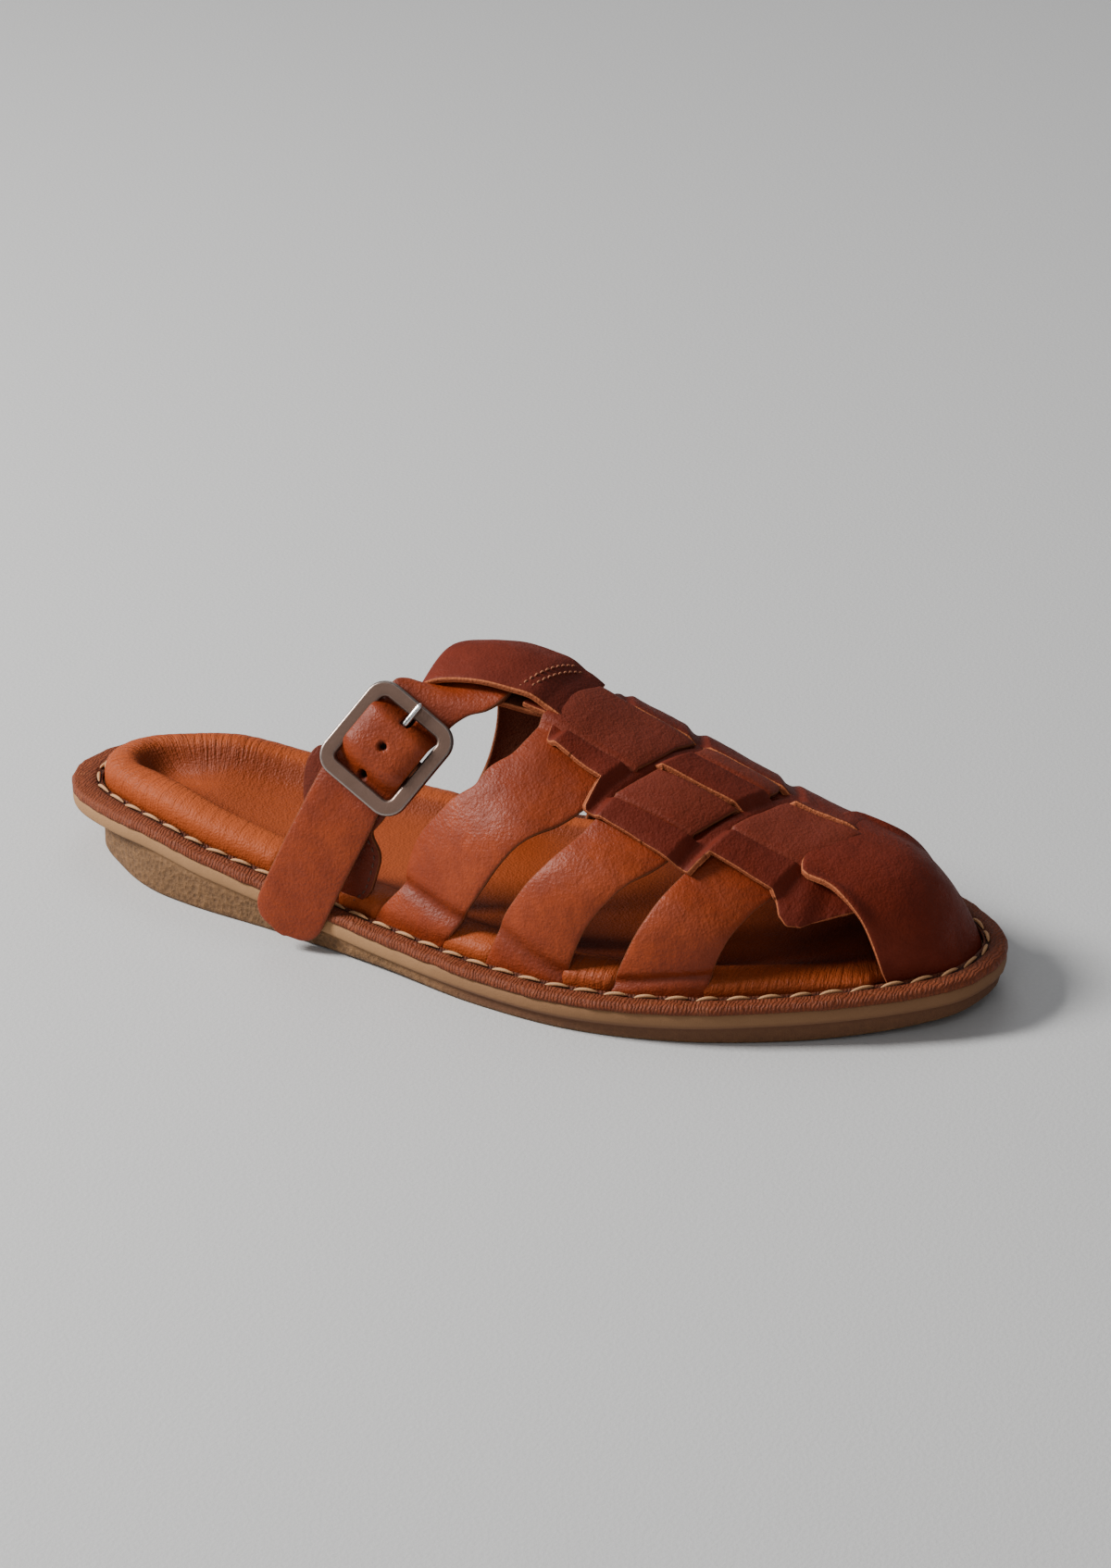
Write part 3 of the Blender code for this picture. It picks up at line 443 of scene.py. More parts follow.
# Painted shade: the stitch groove, and more faintly the strip's inner lip, are darkened
strip_colour = strip_red.blend(strip_red.seen("groove"), strip_colour, (0.040, 0.010, 0.005))
strip_colour = strip_red.blend(tear * 0.35, strip_colour, (0.26, 0.085, 0.034))
strip_red.wear(
    strip_colour,
    strip_red.between(grain, 0.2, 0.8) * 0.2 + 0.5,
    hatch * 0.35 + grain + strip_red.noise(2200.0, 3.0) * 0.4,
    0.00045,
)
FLAT_EDGE = np.column_stack([EDGE, np.zeros(RING)])
wave = wobble(FLAT_EDGE, 210.0, 3.0) + wobble(FLAT_EDGE, 520.0, 6.0) * 0.5
low = FLANGE_TOP + GAP
# How far inside the flange's edge and then inside the strip's inner edge, each with its level as a share of the
# thickness, and for the second how strongly painted shade darkens the groove there
OUTER_PART = [
    (0.0012, 0.0), (0.0003, -0.20), (-0.0001, -0.14), (-0.0001, 0.30), (0.0003, 0.74), (0.0008, 0.94),
    (0.0016, 1.0), (0.0028, 1.04),
]
INNER_PART = [
    (-0.0030, 1.10, 0.25), (-0.0021, 1.02, 0.25), (-0.0014, 0.62, 1.0), (-0.0007, 0.62, 1.0),
    (-0.0001, 1.0, 0.25), (0.0, 0.85, 0.25), (0.0, 0.0, 0.25),
]
profile = [(away + wave * 0.0004, level, 0.0) for away, level in OUTER_PART]
profile += [(STRIP_INNER + away, level, shade_depth) for away, level, shade_depth in INNER_PART]
rings, groove = [], []
for away, level, shade_depth in profile:
    lift = wobble(np.column_stack([EDGE, np.full(RING, 0.01 * level)]), 190.0, 8.0) * 0.00022 * (level > 0.5)
    rings.append((inset(away), low + STRIP_THICK * level + lift))
    groove.append(np.full(RING, shade_depth))
strip = ring_piece("welt_leather", rings, strip_red.material, hollow=True)
mark(strip, "groove", groove)
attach(strip, "root")
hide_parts("welt_strip")

# Footbed: a leather-covered board with a padded rim rolled all round and a cupped heel. It is
# lasted and pressed on to the sole, so its rim is gathered into fine wrinkles.
RIM_WIDE, RIM_HIGH, BOARD_THICK = 0.0090, 0.0090, 0.0032
RIM_SHARE = [(0, 1.0), (0.15, 1.0), (0.45, 0.78), (0.80, 0.72), (0.90, 0.40), (1, 0.25)]
tan_leather = Finish("footbed_leather", Specular_IOR_Level=0.22)
band = tan_leather.node("UVMap", {"uv_map": "band"})
pleat = tan_leather.noise(1.0, 3.0, 0.6, at=tan_leather.stretched((620.0, 90.0, 1.0), band), distortion=0.4)
gather = tan_leather.seen("gather")
pores = tan_leather.cells(1500.0)
cloud = tan_leather.noise(28.0, 4.0, 0.6)
tan_colour = tan_leather.blend(cloud, (0.305, 0.050, 0.0080), (0.400, 0.078, 0.0145))
tan_colour = tan_leather.blend(tan_leather.seen("shade") * 0.75, tan_colour, (0.110, 0.0145, 0.0030))
# Painted shade in the folds of the gathered rim: the pleats are darkened
pleat_shade = tan_leather.between(pleat, 0.42, 0.62) * gather * 0.35
tan_colour = tan_leather.blend(pleat_shade, tan_colour, (0.170, 0.032, 0.007))
tan_leather.wear(
    tan_colour,
    tan_leather.between(cloud, 0.3, 0.7) * 0.12 + 0.52,
    pores * 0.25 + pleat * gather * 2.2 + tan_leather.noise(420.0, 4.0, 0.6) * 0.45,
    0.00055,
)
start = STRIP_INNER + 0.0020 + 5 * GAP
rim = RIM_HIGH * read(RIM_SHARE, ALONG)
lowest = DIP + 2 * GAP
bed = lowest + BOARD_THICK
# The roll from its foot over its top, then down to the bed: shares of the rim's width and height
OVER_TOP = [
    (0.0, 0.0), (-0.01, 0.28), (0.0, 0.50), (0.05, 0.70), (0.14, 0.85), (0.26, 0.95), (0.38, 1.0),
    (0.52, 0.99), (0.66, 0.93),
]
DOWN_INSIDE = [(0.80, 0.75), (0.95, 0.52), (1.10, 0.31), (1.25, 0.16), (1.50, 0.04), (1.75, 0.0)]
# Between the feet of the straps the rim swells out to the stitches. Shares of the length of each
# foot's rear and front, on the outer and on the inner side
FEET = [
    [(0.283, 0.361), (0.408, 0.489), (0.545, 0.626), (0.674, 0.759), (0.912, 1.2)],
    [(0.378, 0.452), (0.496, 0.571), (0.606, 0.675), (0.732, 0.807), (0.908, 1.2)],
]
swell = np.ones(RING)
for side, feet in zip((OUTER_SIDE, ~OUTER_SIDE), FEET):
    for rear, front in feet:
        held = ease((ALONG - rear + 0.002) / 0.012) * (1 - ease((ALONG - front + 0.010) / 0.012))
        swell = np.where(side, swell * (1 - held), swell)
swell = swell * 0.0028
rings = [(towards_spine(SEAT, 0.85), lowest), (towards_spine(SEAT, 0.35), lowest)]
shade, gathers = [0, 0], [0, 0]
ruck = wobble(FLAT_EDGE, 520.0, 5.0)
for away, share in OVER_TOP:
    out = swell * (1 - ease(away / 0.45))
    ring = inset(start + RIM_WIDE * away - out - ruck * 0.00010 * share)
    rings.append((ring, low + rim * share + ruck * 0.00012 * share))
    shade.append(0.55 * (1 - share) ** 1.5)
    gathers.append(0.9 * share)
for away, share in DOWN_INSIDE:
    rings.append((inset(start + RIM_WIDE * away), bed + (low + rim - bed) * share + ruck * 0.00015 * share))
    shade.append(0.35 + 0.45 * (1 - abs(share * 1.6 - 0.7)) if share < 0.8 else 0.2)
    gathers.append(0.35 + 0.65 * share if share > 0.1 else 0.2)
for share in (0.30, 0.45, 0.60, 0.75, 0.88):
    ring = towards_spine(inset(start + RIM_WIDE * 1.75), share)
    rings.append((ring, bed + wobble(np.column_stack([ring, bed]), 60.0, 2.0) * 0.00025))
    shade.append(0.35)
    gathers.append(0.05)
footbed = ring_piece("footbed_leather", rings, tan_leather.material)
heel_or_toe = np.maximum(1 - ease((ALONG - 0.05) / 0.2), ease((ALONG - 0.55) / 0.12))
shade_depth = np.array([0.25 if i < 2 + len(OVER_TOP) else 0.60 for i in range(len(rings))])
shade = np.array(shade)[:, None] * np.ones(RING) + shade_depth[:, None] * ease((ALONG - 0.46) / 0.2)
gathers = np.array(gathers)[:, None] * (0.25 + 0.75 * heel_or_toe)
mark(footbed, "shade", shade)
mark(footbed, "gather", gathers)
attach(footbed, "root")
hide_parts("footbed")

# Cross straps: three straps cut from one smooth cognac hide, two millimetres thick. Each goes
# down inside the welt strip on both sides and weaves through the slits of the middle sheet.
LEATHER = 0.0020
LAST_END = 0.9650
CREST_HEIGHT = 0.073
# The last: the crest's height as a share of CREST_HEIGHT, how far it lies to the inner side as a
# share of the ball width, and the exponent of the section, at shares of the length
CREST = [
    (0.28, 0.90), (0.40, 0.945), (0.47, 0.972), (0.54, 0.925), (0.60, 0.822), (0.67, 0.726), (0.74, 0.630),
    (0.80, 0.548), (0.85, 0.507), (0.885, 0.470), (0.915, 0.405), (0.938, 0.325), (0.953, 0.245), (0.9650, 0.188),
]
CREST_SIDE = [(0.28, 0.0), (0.60, 0.010), (0.72, 0.026), (0.80, 0.042), (0.88, 0.058), (0.9650, 0.075)]
FULLNESS = [(0.28, 1.95), (0.46, 2.0), (0.62, 2.3), (0.85, 2.35), (0.9650, 2.2)]


def fullness(along, across):
    """The exponent of the last's section; the inner side is rounder toward the toe."""
    return read(FULLNESS, along) - 0.48 * ease((along - 0.58) / 0.18) * (across > 0)


NEAR, FAR = slice(0, HALF + 1), np.append(np.arange(HALF, RING), 0)


def sole_line(y, lift):
    """Where the last's surface, raised by a lift, meets the sole: X and Z outside, then inside."""
    found = []
    for side, sign in ((NEAR, -1), (FAR, 1)):
        at = []
        for step in (0.0, 0.002):
            ring = inset(STRIP_INNER + GAP + LEATHER - step)[side]
            at.append(np.interp(sign * y, sign * ring[:, 1], ring[:, 0]))
        ring = inset(STRIP_INNER + GAP + LEATHER)[side]
        found.append(at[0] + (at[1] - at[0]) * lift / 0.002)
        found.append(np.interp(sign * y, sign * ring[:, 1], FLANGE_TOP[side]))
    return found


def on_last(along, across, lift):
    """Points of the last's surface: across runs from -1 at the outer sole edge to 1 at the inner one."""
    along, across, lift = np.broadcast_arrays(*(np.asarray(v, float) for v in (along, across, lift)))
    turn = ease((along - 0.86) / (LAST_END - 0.86))
    y = y_at(along) - lift * turn
    x_outer, z_outer, x_inner, z_inner = sole_line(y, lift)
    middle = np.clip(read(CREST_SIDE, along) * BALL_WIDTH, x_outer, x_inner)
    base = np.where(across < 0, z_outer, z_inner) + GAP
    crest = read(CREST, along) * CREST_HEIGHT
    slope = (read(CREST, along - 0.01) - read(CREST, along + 0.01)) * CREST_HEIGHT / (0.02 * SOLE_LENGTH)
    top = crest + lift * np.sqrt(1 + np.minimum(np.abs(slope), 1.2) ** 2) * (1 - turn**4)
    power = 2 / fullness(along, across)
    sideways = np.copysign(np.abs(np.sin(across * math.pi / 2)) ** power, across)
    upwards = np.maximum(np.cos(across * math.pi / 2), 0.0) ** power
    half = np.where(across < 0, middle - x_outer, x_inner - middle)
    return np.stack([middle + sideways * half, y, base + (top - base) * upwards], axis=-1) - CENTRE


def across_for(along, reach):
    """The across value of points that lie this far sideways of the crest, in metres."""
    along, reach = np.broadcast_arrays(np.asarray(along, float), np.asarray(reach, float))
    x_outer, _, x_inner, _ = sole_line(y_at(along), 0.0)
    middle = read(CREST_SIDE, along) * BALL_WIDTH
    half = np.where(reach < 0, middle - x_outer, x_inner - middle)
    share = np.minimum(np.abs(reach) / half, 1.0)
    return np.copysign(np.arcsin(share ** (fullness(along, reach) / 2)) / (math.pi / 2), reach)


def grid_faces(rows, columns):
    """Faces of a grid whose points are listed row by row."""
    return [
        (r * columns + c, (r + 1) * columns + c, (r + 1) * columns + c + 1, r * columns + c + 1)
        for r in range(rows - 1)
        for c in range(columns - 1)
    ]


def hide(name, points, faces, thick, material, marks, outwards=None, corner=0.35):
    """A piece of leather: its outer face given, an inner face a thickness below, and a rounded cut edge."""
    points = np.array(points, float)
    faces = np.array(faces)
    cross = np.cross(points[faces[:, 2]] - points[faces[:, 0]], points[faces[:, 3]] - points[faces[:, 1]])
    middle = points[faces].mean(axis=1)
    away = middle + np.array([0, 0, 0.02]) if outwards is None else outwards(middle)
    if np.einsum("ij,ij->i", cross, away).sum() < 0:
        faces, cross = faces[:, ::-1], -cross
    normals = np.zeros_like(points)
    for k in range(4):
        np.add.at(normals, faces[:, k], cross)
    normals /= np.linalg.norm(normals, axis=1)[:, None] + 1e-12
    ends = np.concatenate([faces[:, [0, 1]], faces[:, [1, 2]], faces[:, [2, 3]], faces[:, [3, 0]]])
    edges = dict.fromkeys((a, b) for a, b in ends)
    rim = [(a, b) for a, b in edges if (b, a) not in edges]
    outward = np.zeros_like(points)
    for a, b in rim:
        away = np.cross(points[b] - points[a], (normals[a] + normals[b]) / 2)
        away /= np.linalg.norm(away) + 1e-12
        outward[a] += away
        outward[b] += away
    outward /= np.linalg.norm(outward, axis=1)[:, None] + 1e-12
    count = len(points)
    onrim = sorted({a for a, b in rim} | {b for a, b in rim})
    index = {v: i for i, v in enumerate(onrim)}
    thick = np.broadcast_to(thick, count)
    levels = [(0.05, 0.55), (0.16, 0.88), (0.5, 1.0), (0.84, 0.88), (0.95, 0.55)]
    stack = [points, points - normals * thick[:, None]]
    through = [np.zeros(count), np.ones(count)]
    for level, bulge in levels:
        push = outward[onrim] * (corner * thick[onrim] * bulge)[:, None]
        stack.append(points[onrim] - normals[onrim] * (thick[onrim] * level)[:, None] + push)
        through.append(np.full(len(onrim), level))
    made_faces = [tuple(f) for f in faces] + [tuple(f[::-1] + count) for f in faces]
    first = 2 * count
    size = len(onrim)
    for a, b in rim:
        chain_a = [a] + [first + k * size + index[a] for k in range(len(levels))] + [a + count]
        chain_b = [b] + [first + k * size + index[b] for k in range(len(levels))] + [b + count]
        for k in range(len(chain_a) - 1):
            made_faces.append((chain_b[k], chain_a[k], chain_a[k + 1], chain_b[k + 1]))
    made = put(name, np.vstack(stack), made_faces, material)
    mark(made, "through", np.concatenate(through))
    for label, values in marks.items():
        values = np.broadcast_to(values, count)
        mark(made, label, np.concatenate([values, values] + [values[onrim]] * len(levels)))
    return made


def upper_finish(name, light, mid, dark, shine, gleam, cut_pale, cut_deep):
    """Vegetable-tanned leather: a pored grain side, tan cut edges with a rough middle, and a suede back."""
    made = Finish(name)
    through = made.seen("through")
    crease_and_shade = made.seen("crease_and_shade")
    shade_and_tone = made.seen("shade_and_tone")
    hole = made.seen("hole")
    cloud = made.noise(38.0, 5.0, 0.62)
    streak = made.noise(210.0, 4.0, 0.6)
    pores = made.cells(1250.0)
    fine = made.noise(3000.0, 2.0, 0.5)
    face = made.blend(made.between(cloud, 0.25, 0.75), mid, light)
    # Painted shade: a mark darkens the face towards the dark colour where a piece lies in shade; on the sheet it also
    # sets a darker tone all over
    face = made.blend(shade_and_tone, face, dark)
    face = made.blend(made.between(streak, 0.30, 0.70) * 0.45, face, tuple(c * 0.72 for c in mid))
    # Painted shade in creases and folds, which are also dented by the bump, and over pieces that lie in shade
    face = made.blend(crease_and_shade * 0.7, face, tuple(c * 0.35 for c in dark))
    # Painted shade: the strap holes are painted nearly black inside
    face = made.blend(hole, face, (0.004, 0.001, 0.0005))
    back = made.blend(made.noise(900.0, 4.0, 0.7), (0.055, 0.0115, 0.0035), (0.115, 0.030, 0.010))
    middle = made.between(through, 0.20, 0.34) * (1 - made.between(through, 0.66, 0.80))
    cut = made.blend(made.noise(1300.0, 4.0, 0.7), tuple(c * 0.6 for c in cut_pale), cut_pale)
    cut = made.blend(middle * 0.6, cut, cut_deep)
    raw = made.between(through, 0.035, 0.10)
    colour = made.blend(raw, face, cut)
    colour = made.blend(made.between(through, 0.93, 0.99), colour, back)
    rough = shine + made.between(streak, 0.2, 0.8) * 0.14 + shade_and_tone * 0.12
    rough = rough * (1 - raw) * (1 - hole) + raw * 0.8 + hole * 0.9
    height = pores * 0.22 + fine * 0.12 + made.noise(430.0, 5.0, 0.68) * 0.8 + raw * made.noise(1500.0, 3.0) * 0.8
    made.shader.inputs["Specular IOR Level"].default_value = gleam
    return made.wear(colour, rough, height - crease_and_shade * 0.8, 0.00042)


# The straps' cut edges are painted dark brown: painted shade for the shadow lines along the straps' front edges
cognac = upper_finish(
    "strap_leather", (0.325, 0.052, 0.0105), (0.205, 0.0265, 0.0048), (0.140, 0.0145, 0.0029),
    0.40, 0.28, (0.26, 0.075, 0.026), (0.10, 0.022, 0.008),
)
russet = upper_finish(
    "sheet_leather", (0.185, 0.0205, 0.0048), (0.130, 0.0122, 0.0025), (0.066, 0.0060, 0.0015),
    0.52, 0.20, (0.56, 0.165, 0.065), (0.17, 0.032, 0.010),
)

# Each strap: shares of the length of its rear and front edges at places across the shoe, then the
# stretches, in metres from the crest, where it passes over the sheet
STRAPS = {
    "rear": (
        [
            (-1, 0.405), (-0.80, 0.443), (-0.70, 0.455), (-0.59, 0.481), (-0.51, 0.514), (-0.41, 0.533),
            (-0.28, 0.543), (-0.15, 0.552), (0, 0.562), (0.12, 0.570), (0.25, 0.568), (0.45, 0.556),
            (0.7, 0.538), (1, 0.508),
        ],
        [
            (-1, 0.485), (-0.83, 0.524), (-0.68, 0.556), (-0.45, 0.606), (-0.33, 0.623), (-0.2, 0.641),
            (0, 0.660), (0.12, 0.667), (0.25, 0.652), (0.45, 0.628), (0.7, 0.602), (1, 0.571),
        ],
        [(-0.0150, 0.0102)],
    ),
    "middle": (
        [
            (-1, 0.540), (-0.82, 0.569), (-0.64, 0.598), (-0.49, 0.622), (-0.3, 0.643), (-0.08, 0.667),
            (0.1, 0.682), (0.25, 0.667), (0.45, 0.645), (0.7, 0.625), (1, 0.606),
        ],
        [
            (-1, 0.624), (-0.84, 0.640), (-0.65, 0.669), (-0.47, 0.702), (-0.34, 0.717), (-0.12, 0.741),
            (0.1, 0.758), (0.25, 0.744), (0.45, 0.722), (0.7, 0.700), (1, 0.675),
        ],
        [(-0.0246, -0.0085), (0.0010, 0.0102)],
    ),
    "front": (
        [
            (-1, 0.675), (-0.78, 0.697), (-0.54, 0.719), (-0.32, 0.741), (-0.14, 0.756), (0.03, 0.773),
            (0.12, 0.778), (0.3, 0.765), (0.6, 0.750), (1, 0.732),
        ],
        [
            (-1, 0.759), (-0.81, 0.771), (-0.58, 0.789), (-0.42, 0.806), (-0.28, 0.820), (0.01, 0.845),
            (0.12, 0.850), (0.3, 0.838), (0.6, 0.823), (1, 0.807),
        ],
        [(-0.0175, 0.0040)],
    ),
}
# How far a strap sinks under the sheet and rises over it
UNDER, OVER = -0.0009, 0.0016


def bump_at(value, middle, width):
    """1 at the middle, falling away smoothly on both sides."""
    return np.exp(-(((value - middle) / width) ** 2))


def make_cross_strap(label, seed, wave_rear, folds):
    """One cross strap. Waves of its rear edge: place, width, size. Folds: side, place, width, size, skew."""
    rear_edge, front_edge, reaches = STRAPS[label]
    rows, columns = 190, 21
    across = np.sin(np.linspace(-1, 1, rows) * math.pi / 2) * 0.45 + np.linspace(-1, 1, rows) * 0.55
    share = np.linspace(0, 1, columns)
    share = share * 0.6 + ease(share) * 0.4
    rear, front = read(rear_edge, across), read(front_edge, across)
    rear = rear + sum(size * bump_at(across, place, width) for place, width, size in wave_rear)
    along = rear[:, None] + (front - rear)[:, None] * share[None, :]
    over_grid = np.broadcast_to(across[:, None], along.shape)
    flat = on_last(along, over_grid, 0.0)
    reach = flat[..., 0] + CENTRE[0] - read(CREST_SIDE, along) * BALL_WIDTH
    over = sum(
        ease((reach - start + 0.0008) / 0.0024) * (1 - ease((reach - stop + 0.0016) / 0.0024))
        for start, stop in reaches
    )
    level = 1 - ease((np.abs(reach) - 0.033) / 0.005)
    lift = (UNDER + (OVER - UNDER) * over) * level
    crown = 1 - np.abs(share * 2 - 1) ** 3.0
    lift = lift + (crown[None, :] - 1) * 0.0007
    away = np.abs(over_grid)
    crease_and_shade = np.zeros_like(along)
    for side, place, width, size, skew in folds:
        here = bump_at(np.where(over_grid * side > 0, away, -1), place + skew * (share[None, :] - 0.5), width)
        lift = lift + here * size
        if size < 0:
            crease_and_shade = np.maximum(crease_and_shade, here)
    foot = ease((away - 0.955) / 0.045)
    lift = lift * (1 - foot * 0.6)
    points = on_last(along, over_grid, lift + LEATHER).reshape(-1, 3)
    waver = wobble(points, 95.0, seed) * 0.00035 + wobble(points, 320.0, seed + 4) * 0.00010
    points[:, 2] += waver * (1 - foot.reshape(-1))
    # Painted shade: the strap darkens where it lies over the sheet, over the top of the instep and near its feet
    shade_and_tone = 0.05 + 0.88 * over + 0.30 * (1 - ease((away - 0.2) / 0.35)) * (1 - over)
    shade_and_tone = np.clip(shade_and_tone + 0.25 * ease((away - 0.90) / 0.1), 0, 1).reshape(-1)
    marks = {"shade_and_tone": shade_and_tone, "crease_and_shade": crease_and_shade.reshape(-1) * 0.5}
    made = hide("strap_" + label, points, grid_faces(rows, columns), LEATHER, cognac, marks)
    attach(made, "root")
    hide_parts("upper")


make_cross_strap(
    "rear", 1.0,
    [(-0.44, 0.07, -0.010), (-0.62, 0.08, 0.006), (-0.86, 0.05, 0.006)],
    [
        (-1, 0.62, 0.15, 0.0030, 0.10), (-1, 0.875, 0.022, -0.0016, 0.05), (-1, 0.94, 0.03, 0.0006, 0.0),
        (1, 0.70, 0.2, 0.0015, 0.0),
    ],
)
make_cross_strap(
    "middle", 12.0,
    [(-0.60, 0.10, 0.003), (-0.85, 0.06, -0.002)],
    [(-1, 0.68, 0.16, 0.0018, -0.06), (-1, 0.93, 0.025, -0.0009, 0.08), (1, 0.72, 0.2, 0.0012, 0.0)],
)
make_cross_strap(
    "front", 23.0,
    [(-0.60, 0.12, 0.002)],
    [(-1, 0.70, 0.18, 0.0012, 0.0), (-1, 0.93, 0.02, -0.0008, -0.06), (1, 0.75, 0.2, 0.0010, 0.0)],
)

# Middle sheet: one darker russet piece from the loop to the toe cap. Slits are cut in it for the
# straps, so its bands lie over them and its cut edges, lighter than its face, stand up.
# Half widths of the sheet, as shares of the ball width, at places along it. Its last bulge is the flap
# that is tucked under the cap
SHEET = [
    (0.535, 0.110), (0.575, 0.112), (0.588, 0.182), (0.654, 0.205), (0.660, 0.283), (0.771, 0.306),
    (0.775, 0.246),
    (0.840, 0.246), (0.848, 0.262), (0.856, 0.281), (0.865, 0.288), (0.876, 0.276), (0.888, 0.240),
    (0.905, 0.190), (0.925, 0.15),
]
# Each slit: the strap that goes through it and how far it lies from the crest; then the slits' two ends
SLITS = [
    ("rear", -0.0150), ("rear", 0.0102), ("middle", -0.0246), ("middle", -0.0085), ("middle", 0.0010),
    ("middle", 0.0102), ("front", -0.0175), ("front", 0.0040),
]
# How far the sheet sinks under a strap, rises over one, and sinks under the cap
SHEET_UNDER, SHEET_OVER, SHEET_OVER_INNER, SHEET_TUCK = -0.0012, 0.0019, 0.0012, 0.0014
SLIT_EASE = 0.011
SLIT_ENDS = {"rear": (0.588, 0.664), "middle": (0.667, 0.761), "front": (0.766, 0.848)}


def sweep(reach):
    """How far the sheet's rows run back at the sides: they are straight across the hide, not across the shoe."""
    return 1.35 * np.minimum(reach, 0.008) - 2.0 * np.maximum(reach - 0.008, 0)


def make_sheet():
    rows = 230
    along = np.linspace(0.540, 0.915, rows)
    columns = [
        -32.5, -30.5, -29.0, -26.8, -24.6, -22.2, -19.8, -17.5, -15.0, -12.8, -10.6, -8.5, -6.1, -3.7,
        -1.3, 1.0, 2.5, 4.0, 6.0, 8.0, 10.2, 13, 16, 19, 22, 25, 28, 31,
    ]
    stops = [v * 0.001 for v in columns]
    places, halves = [row[0] for row in SHEET], [row[1] for row in SHEET]
    points, vertex, faces = [], {}, []

    def half_at(r):
        return float(np.interp(along[r], places, halves)) * BALL_WIDTH

    def add(r, c, side):
        """One point of the grid; on a slit its two sides are points of their own."""
        q, half = along[r], half_at(r)
        reach = float(np.clip(stops[c], -half, half))
        ends = [SLIT_ENDS[label] for label, place in SLITS if abs(stops[c] - place) < 1e-6]
        slit = abs(reach - stops[c]) < 1e-9 and any(low < q < high for low, high in ends)
        side = side if slit else 0
        if (r, c, side) in vertex:
            return vertex[(r, c, side)]
        s = q + float(sweep(reach))
        probe = reach + 0.0002 * side
        lift = 0.0
        for label, (low, high) in SLIT_ENDS.items():
            inside = float(ease((q - low) / SLIT_EASE) * (1 - ease((q - high + SLIT_EASE) / SLIT_EASE)))
            beneath = any(start < probe < stop for start, stop in STRAPS[label][2])
            on_slit = any(abs(stops[c] - place) < 1e-6 for name, place in SLITS if name == label)
            if on_slit and not slit:
                inside = 0.0
            raised = SHEET_OVER if probe < 0.006 else SHEET_OVER_INNER
            lift += SHEET_UNDER * inside if beneath else raised * inside
        lift -= SHEET_TUCK * float(ease((s - 0.832) / 0.02))
        vertex[(r, c, side)] = len(points)
        points.append(on_last(s, across_for(s, reach), lift + LEATHER).reshape(3))
        return vertex[(r, c, side)]

    for r in range(rows - 1):
        for c in range(len(stops) - 1):
            least = min(abs(stops[c]), abs(stops[c + 1]))
            if max(half_at(r), half_at(r + 1)) < least + 1e-5:
                continue
            corners = (add(r, c, 1), add(r + 1, c, 1), add(r + 1, c + 1, -1), add(r, c + 1, -1))
            if len(set(corners)) == 4:
                faces.append(corners)
    points = np.array(points)
    points[:, 2] += wobble(points, 130.0, 31.0) * 0.00030 + wobble(points, 420.0, 35.0) * 0.00008
    marks = {"shade_and_tone": 0.35, "crease_and_shade": 0.0}
    return hide("woven_sheet", points, faces, LEATHER * 0.95, russet, marks, corner=0.18)


sheet = make_sheet()
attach(sheet, "root")
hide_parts("upper")

# Toe cap: a domed piece of the same russet hide, wet-moulded on the last. It is open behind
# along a curved raw edge and goes down inside the welt strip round the toe.
CAP_EDGE = [
    (0, 0.822), (0.2, 0.820), (0.31, 0.826), (0.345, 0.850), (0.413, 0.868), (0.491, 0.881), (0.593, 0.892),
    (0.758, 0.903), (0.904, 0.910), (1, 0.915),
]
rows, columns = 90, 141
spread = np.sin(np.linspace(-1, 1, columns) * math.pi / 2) * 0.6 + np.linspace(-1, 1, columns) * 0.4
edge = read(CAP_EDGE, np.abs(spread))
step = np.sin(np.linspace(0, 1, rows) * math.pi / 2)[:, None]
cap_along = edge[None, :] + (LAST_END - edge)[None, :] * step
cap_across = np.broadcast_to(spread, cap_along.shape)
lip = np.exp(-((step / 0.10) ** 2)) * np.exp(-(((np.abs(cap_across) - 0.42) / 0.16) ** 2))
lift = 0.0009 * (1 - np.abs(cap_across) ** 3) * (1 - (cap_along / LAST_END) ** 20) + lip * 0.0016
points = on_last(cap_along, cap_across, lift + LEATHER).reshape(-1, 3)
settle = (1 - np.abs(cap_across) ** 6).reshape(-1)
points[:, 2] += (wobble(points, 60.0, 41.0) * 0.00045 + wobble(points, 210.0, 44.0) * 0.00012) * settle
# Painted shade: the cap darkens towards its sides, down to the sole
cap_shade_and_tone = np.clip(0.15 + 0.6 * ease((np.abs(cap_across) - 0.75) / 0.25), 0, 1).reshape(-1)
toe_cap = hide("toe_cap", points, grid_faces(rows, columns), LEATHER, russet, {"shade_and_tone": cap_shade_and_tone, "crease_and_shade": 0.0})
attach(toe_cap, "root")
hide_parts("upper")

# Strap loop: the sheet's rear end, folded back under itself to make a tunnel for the instep
# strap, and closed by two rows of fine stitches across its front.
LOOP_FRONT, LOOP_REAR = 0.548, 0.420
CLEAR = 3 * GAP
SHEET_HALF = 0.110 * BALL_WIDTH
LOOP_ROWS, LOOP_COLUMNS = 150, 33
